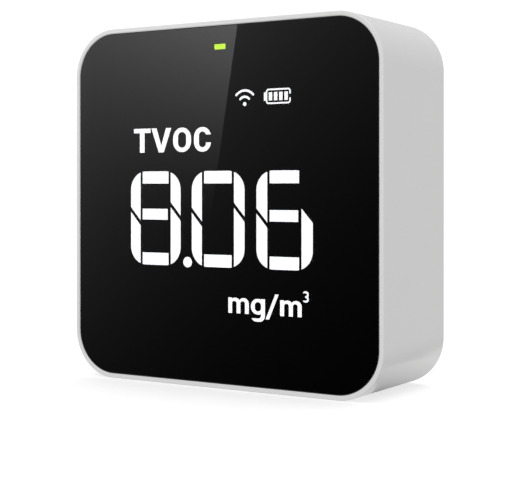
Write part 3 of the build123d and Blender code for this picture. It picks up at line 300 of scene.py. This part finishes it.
# ------------------------------------------------------------------ display board
# The lamp chips sit on a thin green board, each a pale body with a speck of yellow
# phosphor. A row of tinned pins carries the board on the main board.
lamp_pale = (0.82, 0.80, 0.72)
lamp_yellow = (0.86, 0.70, 0.18)
lamp_rough = 0.25
glitter_in_metre = 5200.0
phosphor_from = 0.52          # glitter above this is phosphor
glitter_dulling = 0.2
glitter_depth = 0.02 * mm
mask_green = (0.006, 0.062, 0.026)
track_green = (0.028, 0.205, 0.075)
mask_rough = 0.22
mask_coat = 0.4
mask_coat_rough = 0.12
fields_in_metre = 170.0       # fields in which the tracks run one way
tracks_in_metre = 300.0
track_from = 0.7              # a wave's crest above this is a track
upright_fields = 0.3          # this share of the fields has upright tracks
level_fields = 0.7            # fields picked above this have level ones
weave_in_metre = 2600.0
weave_share = 0.3             # of the colour; the tracks make the rest
weave_rise = 0.2              # against the tracks'
weave_dulling = 0.14
track_rise = 0.04 * mm
tin_dark = (0.52, 0.52, 0.51)
tin_light = (0.74, 0.74, 0.72)
tin_rough = 0.18
marks_in_metre = 900.0
mark_share = 0.6              # of a metal's colour; the dulled patches make the rest
mark_dulling = 0.18
mark_depth = 0.012 * mm
patches_in_metre = 240.0
patch_dulling = 0.10


def lamp_surface(shade):
    glitter = grain(shade, glitter_in_metre)
    return {
        "Base Color": two_tone(shade, glitter > phosphor_from, lamp_pale, lamp_yellow),
        "Roughness": lamp_rough + glitter * glitter_dulling,
        "Normal": relief(shade, glitter, 0.2, glitter_depth),
    }


def one_axis(shade, place, axis):
    """One part of a place: axis 0, 1 or 2."""
    return shade.node("ShaderNodeSeparateXYZ", None, {0: place}, output=axis)


def waves(shade, direction, in_metre):
    """Even waves across the piece, fixed to it."""
    return shade.node("ShaderNodeTexWave", {"bands_direction": direction}, {
        "Vector": place_on(shade), "Scale": in_metre})


def board_surface(shade):
    """Green solder mask: tracks stand up under it, and the glass weave shows faintly."""
    fields = shade.node("ShaderNodeTexVoronoi", {"distance": "CHEBYCHEV"}, {
        "Vector": place_on(shade), "Scale": fields_in_metre}, output="Color")
    pick = one_axis(shade, fields, 0)
    upright = waves(shade, "X", tracks_in_metre) > track_from
    level = waves(shade, "Z", tracks_in_metre) > track_from
    tracks = upright * (pick < upright_fields) + level * (pick > level_fields)
    weave = grain(shade, weave_in_metre, detail=1.0)
    shown = tracks * (1 - weave_share) + weave * weave_share
    return {
        "Base Color": two_tone(shade, shown, mask_green, track_green),
        "Roughness": mask_rough + weave * weave_dulling,
        "Normal": relief(shade, tracks + weave * weave_rise, 0.5, track_rise),
    }


def metal(dark, light, rough, stretch=(1, 1, 1)):
    """Plated or bare metal: rubbed marks, along the stretch, over dulled patches."""
    def surface(shade):
        marks = grain(shade, marks_in_metre, detail=6.0, stretch=stretch)
        patches = grain(shade, patches_in_metre, detail=4.0)
        shown = marks * mark_share + patches * (1 - mark_share)
        return {
            "Base Color": two_tone(shade, shown, dark, light),
            "Roughness": rough + marks * mark_dulling + patches * patch_dulling,
            "Normal": relief(shade, marks, 0.25, mark_depth),
        }
    return surface


lamp_body = finish("lamp_body", {}, lamp_surface)
green_board = finish("board_green", {
    "Coat Weight": mask_coat, "Coat Roughness": mask_coat_rough}, board_surface)
tinned_metal = finish("tinned_metal", {"Metallic": 1.0}, metal(tin_dark, tin_light, tin_rough))
put_on(lamp_body, "display_leds")
put_on(green_board, "display_board")
put_on(tinned_metal, "display_pins")


# ------------------------------------------------------------------ indicator light
# A clear green light pipe set in the ledge carries the glow of a small lamp on the board
# to the opening in the ink near the window's top edge.
lime_glow = 19.0
lime_body = (0.35, 0.8, 0.08)
lime_deep = (0.585, 1.0, 0.006)
lime_pale = (0.625, 1.0, 0.012)
lime_rough = 0.2
swirls_in_metre = 900.0
swirl_dulling = 0.1


def lime_surface(shade):
    swirls = grain(shade, swirls_in_metre, detail=2.0)
    return {
        "Emission Color": two_tone(shade, swirls, lime_deep, lime_pale),
        "Roughness": lime_rough + swirls * swirl_dulling,
    }


put_on(finish("lime_light_pipe", {
    "Base Color": (*lime_body, 1), "Specular IOR Level": 0.0,
    "Emission Strength": lime_glow}, lime_surface), "indicator_light_pipe")
put_on(lamp_body, "indicator_led")


# ------------------------------------------------------------------ main board
# A green board on four standoffs. On its back are a square processor with a row of small
# capacitors, a wireless module under a tinned can, the cream battery socket, and at its
# top edge a black push switch whose round plunger stands under the button's stem.
black_deep = (0.010, 0.010, 0.011)
black_pale = (0.026, 0.026, 0.028)
black_rough = 0.42
chip_deep = (0.012, 0.012, 0.012)
chip_pale = (0.034, 0.033, 0.032)
chip_rough = 0.55
chip_pits_in_metre = 9000.0
cream_deep = (0.66, 0.60, 0.47)
cream_pale = (0.76, 0.70, 0.57)
cream_ior = 1.53
cream_rough = 0.38
cream_glow_through = 0.05     # light that goes through the thin plastic
zinc_dark = (0.36, 0.36, 0.37)
zinc_light = (0.62, 0.62, 0.64)
zinc_rough = 0.22
ceramic_brown = (0.30, 0.19, 0.11)
ceramic_tin = (0.70, 0.70, 0.68)
ceramic_rough = 0.5
specks_in_metre = 3800.0
speck_dulling = 0.2
speck_depth = 0.02 * mm
tin_metallic = 0.95
tin_polish = 0.25             # tinned ends are this much smoother
body_share = 0.30             # of a capacitor's length, from its middle to the tin
row_low, row_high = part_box("board_capacitors")
row_middle = (row_low.z + row_high.z) / 2
body_reach = (row_high.z - row_low.z) * body_share


def capacitor_surface(shade):
    """Brown ceramic with tinned ends."""
    height = one_axis(shade, place_on(shade), 2)
    ends = shade.math("ABSOLUTE", height - row_middle) > body_reach
    specks = grain(shade, specks_in_metre)
    return {
        "Base Color": two_tone(shade, ends, ceramic_brown, ceramic_tin),
        "Metallic": ends * tin_metallic,
        "Roughness": ceramic_rough + specks * speck_dulling - ends * tin_polish,
        "Normal": relief(shade, specks, 0.3, speck_depth),
    }


black_plastic = finish("black_plastic", {"IOR": plastic_ior},
                       moulded(black_deep, black_pale, black_rough, strength=0.35))
chip_black = finish("chip_black", {"IOR": plastic_ior}, moulded(
    chip_deep, chip_pale, chip_rough, strength=0.5, pits=chip_pits_in_metre))
cream_plastic = finish("cream_plastic", {
    "IOR": cream_ior, "Subsurface Weight": cream_glow_through},
    moulded(cream_deep, cream_pale, cream_rough, strength=0.18))
zinc_steel = finish("zinc_plated_steel", {"Metallic": 1.0},
                    metal(zinc_dark, zinc_light, zinc_rough))
put_on(green_board, "main_board", "wireless_board")
put_on(chip_black, "microcontroller")
put_on(finish("brown_ceramic", {}, capacitor_surface), "board_capacitors")
put_on(tinned_metal, "wireless_shield")
put_on(black_plastic, "switch_body", "switch_plunger")
put_on(cream_plastic, "battery_socket")
put_on(zinc_steel, "main_board_screws")


# ------------------------------------------------------------------ battery
# A flat lithium cell in a laminated aluminium pouch, stuck to the board with foam tape.
# Two silicone-covered wires run from it to a cream plug.
pouch_dark = (0.50, 0.51, 0.53)
pouch_light = (0.70, 0.71, 0.73)
pouch_metallic = 0.85
pouch_rough = 0.30
creases_in_metre = 170.0
crease_dulling = 0.15
crease_depth = 0.2 * mm
film_in_metre = 2200.0
film_dulling = 0.08
film_rise = 0.1               # against the creases'
red_deep = (0.38, 0.010, 0.008)
red_pale = (0.58, 0.025, 0.020)
wire_black = (0.010, 0.010, 0.010)
wire_grey = (0.030, 0.030, 0.030)
wire_rough = 0.5
bloom_in_metre = 1800.0


def pouch_surface(shade):
    creases = grain(shade, creases_in_metre, detail=7.0)
    film = grain(shade, film_in_metre)
    return {
        "Base Color": two_tone(shade, creases, pouch_dark, pouch_light),
        "Roughness": pouch_rough + creases * crease_dulling + film * film_dulling,
        "Normal": relief(shade, creases + film * film_rise, 0.5, crease_depth),
    }


def wire_cover(dark, light):
    """Soft wire covering with a faint powdery bloom."""
    return moulded(dark, light, wire_rough, strength=0.25, pits=bloom_in_metre)


put_on(finish("battery_pouch", {"Metallic": pouch_metallic}, pouch_surface), "battery_cell")
put_on(cream_plastic, "battery_plug")
put_on(finish("red_wire", {}, wire_cover(red_deep, red_pale)), "battery_lead_red")
put_on(finish("black_wire", {}, wire_cover(wire_black, wire_grey)), "battery_lead_black")


# ------------------------------------------------------------------ charging socket
# A small board at the bottom carries the charging socket: a drawn steel shell round a
# black tongue with gold-plated contacts on both faces. Angled pins join it to the main
# board, and two screws hold it to bosses in the case.
contact_count = 8
contact_pitch = 0.7 * mm
contact_width = 0.34 * mm
contact_length = 3.0 * mm
contact_lift = 0.03 * mm      # contacts stand this proud of the tongue, and sink as deep
contact_setback = 0.4 * mm    # from the tongue's tip
contact_clip_share = 0.3      # of the width, cut off each corner at the tip
tongue_half_thickness = 0.35 * mm
gold_dark = (0.72, 0.48, 0.16)
gold_light = (0.90, 0.66, 0.28)
gold_rough = 0.15
drawn_dark = (0.48, 0.48, 0.47)
drawn_light = (0.70, 0.70, 0.69)
drawn_rough = 0.16


def linked(name, data):
    """An object for finished data, put in the scene."""
    piece = bpy.data.objects.new(name, data)
    bpy.context.scene.collection.objects.link(piece)
    return piece


def contact_outline(x, tip):
    """A contact's outline seen from above, with both corners clipped at the tip."""
    half = contact_width / 2
    clip = contact_width * contact_clip_share
    return [(x - half, tip - contact_length), (x + half, tip - contact_length),
            (x + half, tip - clip), (x + half - clip, tip),
            (x - half + clip, tip), (x - half, tip - clip)]


def make_contacts():
    """Flat gold strips on both faces of the tongue."""
    low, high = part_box("usb_tongue")
    level = (low.z + high.z) / 2
    mesh = bmesh.new()
    for face in (-1, 1):
        for index in range(contact_count):
            x = (index - (contact_count - 1) / 2) * contact_pitch
            outline = contact_outline(x, high.y - contact_setback)
            rings = []
            for lift in (-contact_lift, contact_lift):
                z = level + face * (tongue_half_thickness + lift)
                rings.append([mesh.verts.new((px, py, z)) for px, py in outline])
                mesh.faces.new(rings[-1])
            inner, outer = rings
            for start in range(len(outline)):
                end = (start + 1) % len(outline)
                mesh.faces.new((inner[start], inner[end], outer[end], outer[start]))
    bmesh.ops.recalc_face_normals(mesh, faces=mesh.faces)
    data = bpy.data.meshes.new("usb_contacts")
    mesh.to_mesh(data)
    mesh.free()
    return linked("usb_contacts", data)


contacts = make_contacts()
contacts.data.materials.append(finish("gold_plating", {"Metallic": 1.0}, metal(
    gold_dark, gold_light, gold_rough, stretch=(1, 0.1, 1))))
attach(contacts, "case")
put_on(green_board, "charge_board")
put_on(tinned_metal, "charge_link_pins")
put_on(zinc_steel, "charge_board_screws")
put_on(chip_black, "charger_chip")
put_on(finish("drawn_steel", {"Metallic": 1.0}, metal(
    drawn_dark, drawn_light, drawn_rough, stretch=(1, 0.08, 1))), "usb_shell")
put_on(black_plastic, "usb_tongue")


# ------------------------------------------------------------------ particle sensor
# A black moulded tray behind the left-hand slots, closed by a green board and a folded
# steel lid. A laser in a metal can shines across the air channel on to a photodiode, and
# foam rings seal the tray to the rear cover. Two screws hold its ears.
lid_dark = (0.50, 0.50, 0.50)
lid_light = (0.68, 0.68, 0.68)
lid_rough = 0.24
can_dark = (0.56, 0.53, 0.47)
can_light = (0.76, 0.73, 0.66)
can_rough = 0.12
diode_black = (0.014, 0.014, 0.015)
diode_violet = (0.050, 0.012, 0.060)
diode_rough = 0.5
diode_specks_in_metre = 4200.0
diode_speck_dulling = 0.1
window_polish = 0.4           # the diode's window is this much smoother
window_share = 0.36           # of the diode's width, the radius of its window
diode_low, diode_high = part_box("photodiode")
diode_middle = (diode_low + diode_high) / 2


def photodiode_surface(shade):
    """Dark violet window over a chip, in a black body."""
    offset = shade.node("ShaderNodeVectorMath", {"operation": "DISTANCE"}, {
        0: place_on(shade), 1: tuple(diode_middle)}, output="Value")
    window = offset < (diode_high.x - diode_low.x) * window_share
    specks = grain(shade, diode_specks_in_metre)
    return {
        "Base Color": two_tone(shade, window, diode_black, diode_violet),
        "Roughness": diode_rough + specks * diode_speck_dulling - window * window_polish,
        "Normal": relief(shade, specks, 0.15, pit_depth),
    }


put_on(black_plastic, "sensor_case", "sensor_header")
put_on(finish("folded_steel", {"Metallic": 1.0}, metal(
    lid_dark, lid_light, lid_rough, stretch=(0.06, 1, 1))), "sensor_lid")
put_on(green_board, "sensor_board")
put_on(tinned_metal, "sensor_pins")
put_on(zinc_steel, "sensor_screws")
put_on(finish("nickel_can", {"Metallic": 1.0}, metal(
    can_dark, can_light, can_rough, stretch=(1, 1, 0.1))), "laser_diode")
put_on(finish("photodiode_body", {}, photodiode_surface), "photodiode")


# ------------------------------------------------------------------ fan
# A small blower in the tray: black frame and seven-bladed rotor, a steel shaft in a
# porous bronze sleeve, and inside the hub a four-pole core wound with enamelled copper.
wire_radius = 0.07 * mm
wire_turns = 6
pole_count = 4
pole_half_width = 0.65 * mm
winding_start = 2.5 * mm      # from the fan's axis
winding_end = 3.2 * mm
enamel_deep = (0.42, 0.13, 0.045)
enamel_pale = (0.66, 0.27, 0.11)
enamel_rough = 0.18
runs_in_metre = 1600.0        # runs in the enamel
run_dulling = 0.15
shaft_dark = (0.50, 0.50, 0.52)
shaft_light = (0.72, 0.72, 0.74)
shaft_rough = 0.10
bronze_dark = (0.36, 0.22, 0.08)
bronze_light = (0.62, 0.42, 0.18)
bronze_rough = 0.35
pores_in_metre = 9000.0
pore_dulling = 0.2
pore_depth = 0.02 * mm
stains_in_metre = 500.0
core_dark = (0.10, 0.10, 0.11)
core_light = (0.40, 0.39, 0.38)
core_metallic = 0.8
core_rough = 0.4
sheets_in_metre = 1100.0
sheet_share = 0.7             # of the core's colour; rust makes the rest
sheet_depth = 0.03 * mm
rust_in_metre = 700.0
rust_dulling = 0.2


def bronze_surface(shade):
    pores = cells(shade, pores_in_metre)
    stains = grain(shade, stains_in_metre, detail=4.0)
    return {
        "Base Color": two_tone(shade, stains, bronze_dark, bronze_light),
        "Roughness": bronze_rough + pores * pore_dulling,
        "Normal": relief(shade, pores, 0.5, pore_depth),
    }


def core_surface(shade):
    """Stacked steel sheets, each with a dark edge."""
    sheets = waves(shade, "Y", sheets_in_metre)
    rust = grain(shade, rust_in_metre, detail=5.0)
    shown = sheets * sheet_share + rust * (1 - sheet_share)
    return {
        "Base Color": two_tone(shade, shown, core_dark, core_light),
        "Roughness": core_rough + rust * rust_dulling,
        "Normal": relief(shade, sheets, 0.4, sheet_depth),
    }


def enamel_surface(shade):
    runs = grain(shade, runs_in_metre)
    return {
        "Base Color": two_tone(shade, runs, enamel_deep, enamel_pale),
        "Roughness": enamel_rough + runs * run_dulling,
        "Normal": relief(shade, runs, 0.1, pit_depth),
    }


def round_wires(name, radius, roundness):
    """An empty curve whose lines become round wires with closed ends."""
    wires = bpy.data.curves.new(name, "CURVE")
    wires.dimensions = "3D"
    wires.bevel_depth = radius
    wires.bevel_resolution = roundness
    wires.use_fill_caps = True
    return wires


def add_wire(wires, places):
    line = wires.splines.new("POLY")
    line.points.add(len(places) - 1)
    for point, place in zip(line.points, places):
        point.co = (*place, 1)


def make_windings():
    """One coil of round wire on each pole, wound outwards from the core."""
    low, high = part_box("fan_stator")
    hub = (low + high) / 2
    half_height = (high.y - low.y) / 2 + wire_radius
    half_width = pole_half_width + wire_radius
    loop = ((-1, -1), (1, -1), (1, 1), (-1, 1))
    steps = wire_turns * len(loop)
    coil = round_wires("fan_windings", wire_radius, 2)
    for pole in range(pole_count):
        turn = pole * 2 * pi / pole_count
        out = Vector((cos(turn), 0, sin(turn)))
        side = Vector((-sin(turn), 0, cos(turn)))
        places = []
        for step in range(steps):
            across, along = loop[step % len(loop)]
            reach = winding_start + (winding_end - winding_start) * step / (steps - 1)
            place = hub + out * reach + side * across * half_width
            place.y += along * half_height
            places.append(place)
        add_wire(coil, places)
    return linked("fan_windings", coil)


windings = make_windings()
windings.data.materials.append(finish("enamelled_copper", {"Metallic": 1.0}, enamel_surface))
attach(windings, "case")
put_on(black_plastic, "fan_frame", "fan_rotor")
put_on(finish("ground_steel", {"Metallic": 1.0}, metal(
    shaft_dark, shaft_light, shaft_rough, stretch=(1, 0.1, 1))), "fan_shaft")
put_on(finish("porous_bronze", {"Metallic": 1.0}, bronze_surface), "fan_bearing")
put_on(finish("laminated_core", {"Metallic": core_metallic}, core_surface), "fan_stator")


# ------------------------------------------------------------------ gas sensor
# A round sensor behind the right-hand slots: a pierced nickel-plated can pressed on to a
# black base, on its own small board that stands off the main board by three pins.
base_height = 1.4 * mm
base_margin = 0.01 * mm       # keeps the metal off the base's own top face
base_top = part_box("gas_sensor_body")[0].y + base_height + base_margin
pierced_light = (0.70, 0.69, 0.65)
pierced_share = 0.7           # of the can's colour is even; scratches make the rest
base_rough = 0.45
pierced_polish = 0.22         # the can is this much smoother than the base
scratches_in_metre = 1100.0
scratch_dulling = 0.15


def pierced_can_surface(shade):
    """A black base below, bright metal above."""
    can = one_axis(shade, place_on(shade), 1) > base_top
    scratches = grain(shade, scratches_in_metre, detail=5.0, stretch=(1, 0.15, 1))
    bright = can * (pierced_share + scratches * (1 - pierced_share))
    return {
        "Base Color": two_tone(shade, bright, black_pale, pierced_light),
        "Metallic": can,
        "Roughness": base_rough + scratches * scratch_dulling - can * pierced_polish,
        "Normal": relief(shade, scratches, 0.2, pit_depth),
    }


put_on(finish("sensor_can", {}, pierced_can_surface), "gas_sensor_body")
put_on(green_board, "gas_sensor_board")
put_on(tinned_metal, "gas_sensor_pins")


# ------------------------------------------------------------------ dust screen
# Blackened wire cloth, plain-woven, sits inside the rear cover behind the right-hand
# slots and keeps lint off the gas sensor.
wires_each_way = 42
cloth_wire_radius = 0.065 * mm
cloth_wave = 0.075 * mm       # wires rise and fall this far as they cross
cloth_dark = (0.020, 0.020, 0.021)
cloth_light = (0.085, 0.083, 0.080)
cloth_metallic = 0.9
cloth_rough = 0.30


def make_cloth():
    """Each wire goes over and under the ones it crosses."""
    low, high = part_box("dust_screen")
    centre = (low + high) / 2
    reach = (high.x - low.x) / 2 - cloth_wire_radius
    pitch = 2 * reach / (wires_each_way - 1)
    wires = round_wires("screen_cloth", cloth_wire_radius, 1)
    for across in (True, False):
        for wire in range(wires_each_way):
            offset = wire * pitch - reach
            places = []
            for crossing in range(wires_each_way):
                run = crossing * pitch - reach
                over = 1 if (wire + crossing + across) % 2 else -1
                x, z = (run, offset) if across else (offset, run)
                places.append(centre + Vector((x, over * cloth_wave, z)))
            add_wire(wires, places)
    return linked("screen_cloth", wires)


cloth = make_cloth()
cloth.data.materials.append(finish("blackened_wire", {"Metallic": cloth_metallic},
                                   metal(cloth_dark, cloth_light, cloth_rough)))
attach(cloth, "case")
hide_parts("dust_screen")


# ------------------------------------------------------------------ rear cover screws
# Four cross-head screws of zinc-plated steel go through the rear cover into bosses in the
# corners of the case.
put_on(zinc_steel, "rear_cover_screws")


# ------------------------------------------------------------------ floor and backdrop
# A pale table top that glows a little, so that shadows on it stay faint, in a white
# surround. Neither of them shows in the gloss of the monitor.
floor_size = 1.4
floor_grey = (0.90, 0.90, 0.90)
floor_white = (0.93, 0.93, 0.93)
floor_glow = 0.34
paper_rough = 0.8
fibres_in_metre = 300.0
fibre_dulling = 0.1
surround_radius = 2.2
surround_glow = 1.1
surround_segments = 32
surround_rings = 16
surround_clouds_in_metre = 2.0


def sheet_between(name, corners):
    """A flat sheet between its corners."""
    mesh = bpy.data.meshes.new(name)
    mesh.from_pydata(corners, [], [tuple(range(len(corners)))])
    return linked(name, mesh)


def hide_from(piece, *rays):
    """Keeps a piece out of what these kinds of light path can meet."""
    for ray in rays:
        setattr(piece, "visible_" + ray, False)


def floor_surface(shade):
    fibres = grain(shade, fibres_in_metre, detail=4.0)
    return {
        "Base Color": two_tone(shade, fibres, floor_grey, floor_white),
        "Roughness": paper_rough + fibres * fibre_dulling,
    }


def surround_surface(shade):
    clouds = grain(shade, surround_clouds_in_metre)
    return {"Roughness": paper_rough + clouds * fibre_dulling}


def make_surround():
    """A ball round the whole scene."""
    ball = bmesh.new()
    bmesh.ops.create_uvsphere(ball, u_segments=surround_segments,
                              v_segments=surround_rings, radius=surround_radius)
    data = bpy.data.meshes.new("surround")
    ball.to_mesh(data)
    ball.free()
    return linked("surround", data)


half_floor = floor_size / 2
floor = sheet_between("floor", [
    (-half_floor, -half_floor, 0), (half_floor, -half_floor, 0),
    (half_floor, half_floor, 0), (-half_floor, half_floor, 0)])
floor.data.materials.append(finish("pale_floor", {
    "Specular IOR Level": 0.0, "Emission Color": (1, 1, 1, 1),
    "Emission Strength": floor_glow}, floor_surface))
hide_from(floor, "diffuse", "glossy", "transmission")

surround = make_surround()
surround.data.materials.append(finish("white_surround", {
    "Base Color": (0, 0, 0, 1), "Emission Color": (1, 1, 1, 1),
    "Emission Strength": surround_glow}, surround_surface))
hide_from(surround, "diffuse", "glossy", "transmission", "shadow")


# ------------------------------------------------------------------ camera
# A long lens held level at about half the monitor's height, to the right of its front.
# Its plate is shifted down, so that upright edges stay upright.
camera_place = (0.15586, -0.24605, 0.04449)
camera_turn = radians(32.077)
camera_lens = 87.03
camera_plate = 36.0
camera_shift = -0.0985

camera_data = bpy.data.cameras.new("camera")
camera_data.lens = camera_lens
camera_data.sensor_width = camera_plate
camera_data.shift_y = camera_shift
camera = linked("camera", camera_data)
camera.location = camera_place
camera.rotation_euler = (pi / 2, 0, camera_turn)
bpy.context.scene.camera = camera


# ------------------------------------------------------------------ light
# Even white light from all round, which also shows in gloss, a wide soft light overhead,
# and a smaller one straight in front that stays out of all gloss.
surround_light = 0.655
middle = (cad_box[0] + cad_box[1]) / 2

world = bpy.data.worlds.new("studio")
world.use_nodes = True
world_light = world.node_tree.nodes["Background"]
world_light.inputs["Color"].default_value = (1, 1, 1, 1)
world_light.inputs["Strength"].default_value = surround_light
world.cycles_visibility.transmission = False
world.cycles_visibility.camera = False
bpy.context.scene.world = world
bpy.context.scene.view_settings.view_transform = "Standard"


def soft_light(name, place, size, power):
    """A square soft light that faces the middle of the object."""
    data = bpy.data.lights.new(name, "AREA")
    data.shape = "SQUARE"
    data.size = size
    data.energy = power
    light = linked(name, data)
    light.location = place
    light.rotation_euler = (middle - Vector(place)).to_track_quat("-Z", "Y").to_euler()
    return light


soft_light("overhead_light", place=(0.0, 0.0, 1.2), size=2.0, power=8.2)
front_light = soft_light("front_light", place=(-0.1, -1.2, 0.15), size=0.5, power=2.3)
hide_from(front_light, "glossy", "transmission")


# ------------------------------------------------------------------ cards in the window's gloss
# A grey wall, and before it the slanted edge of a soft box, both fading downwards. They
# stand where the window mirrors them for the camera. Places on them are in the window's
# own millimetres, across and up from its middle.
card_glow = 10.0              # light of the brightest place that a card can have
gloss_share = 0.0415          # share of a card's light that the window sends on
mirrored_glow = gloss_share * card_glow
wall_level = 0.00731
wall_rise = 0.03057           # the wall's light grows by this share for every mm upwards
wall_fall = 0.0221            # and loses this share for every mm to the right
wall_reach = 3.2              # times as far from the camera's mirrored place as the window
wall_outline = [(-70, -70), (70, -70), (70, 70), (-70, 70)]
box_level = 0.001705
box_foot = -6.0               # the soft box's light starts at this height
box_side = -36.0              # and from here to the right
box_rise = 44.0
box_bend = 1.8
box_reach = 3.1
box_outline = [(-60, -10), (-3.3, -10), (8.53, 60), (-60, 60)]
window_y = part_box("front_window")[0].y
mirrored_eye = camera.location.copy()
mirrored_eye.y = 2 * window_y - mirrored_eye.y


def mirrored(reach):
    """Places a card so that the window shows each of its places at the same place on itself."""
    def stand(across, up):
        seen = Vector((across * mm, window_y, middle.z + up * mm))
        return mirrored_eye + (seen - mirrored_eye) * reach
    return stand


def wall_light(shade, across, up):
    return shade.math("EXPONENT", up * wall_rise - across * wall_fall) * wall_level


def box_light(shade, across, up):
    rise = shade.math("MAXIMUM", (up - box_foot) / box_rise, 0.0) ** box_bend
    spread = shade.math("MAXIMUM", across - box_side, 0.0)
    return wall_light(shade, across, up) + rise * spread * box_level


def card(name, outline, stand, full, light):
    """A card that shows only in gloss; it glows its most where its light is full."""
    def surface(shade):
        place = shade.node("ShaderNodeUVMap", {"uv_map": "places"})
        across, up = one_axis(shade, place, 0), one_axis(shade, place, 1)
        return {"Emission Color": light(shade, across, up) / full}

    sheet = sheet_between(name, [stand(*corner) for corner in outline])
    places = sheet.data.uv_layers.new(name="places")
    for loop, corner in zip(sheet.data.loops, outline):
        places.data[loop.index].uv = corner
    sheet.data.materials.append(finish(name, {
        "Base Color": (0, 0, 0, 1), "Specular IOR Level": 0.0,
        "Emission Strength": card_glow}, surface))
    hide_from(sheet, "camera", "diffuse", "transmission", "shadow")


card("wall_card", wall_outline, mirrored(wall_reach), mirrored_glow, wall_light)
card("softbox_card", box_outline, mirrored(box_reach), mirrored_glow, box_light)


# ------------------------------------------------------------------ cards beside the case
# A white sheet lies on the table along the case's right side, with a shaded strip beyond
# it, and both show in the case's low corner. The sheet's light fades away towards the case,
# a painted shadow of the case on the table. Places on them are in millimetres on the
# table, across and back from the frame's origin.
sheet_light_limit = 1.15
sheet_shadow_edge = 32.0             # the sheet's light grows from here to the right
sheet_across = 0.056          # by this much for every mm
sheet_back = 0.022            # and by this much for every mm backwards
sheet_outline = [(30, -6), (45.4, -6), (45.4, 24), (49.8, 36), (60, 80), (30, 80)]
strip_level = 0.30            # the strip is darkest along the sheet
strip_side = 45.0
strip_across = 0.017
strip_outline = [(40, -12), (68, -12), (68, 100), (40, 100)]
strip_drop = 0.5              # the strip lies this far under the sheet


def lying(height):
    """Places a card flat at this height in millimetres."""
    def stand(across, back):
        return Vector((across, back, height)) * mm
    return stand


# Painted shadow: the sheet is dark next to the case and brightens away from it.
def sheet_light(shade, across, back):
    level = back * sheet_back + (across - sheet_shadow_edge) * sheet_across
    return shade.math("MINIMUM", shade.math("MAXIMUM", level, 0.0), sheet_light_limit)


def strip_light(shade, across, back):
    level = strip_level + (across - strip_side) * strip_across
    return shade.math("MINIMUM", level, surround_light)


card("shade_card", strip_outline, lying(-strip_drop), card_glow, strip_light)
card("table_card", sheet_outline, lying(0), card_glow, sheet_light)
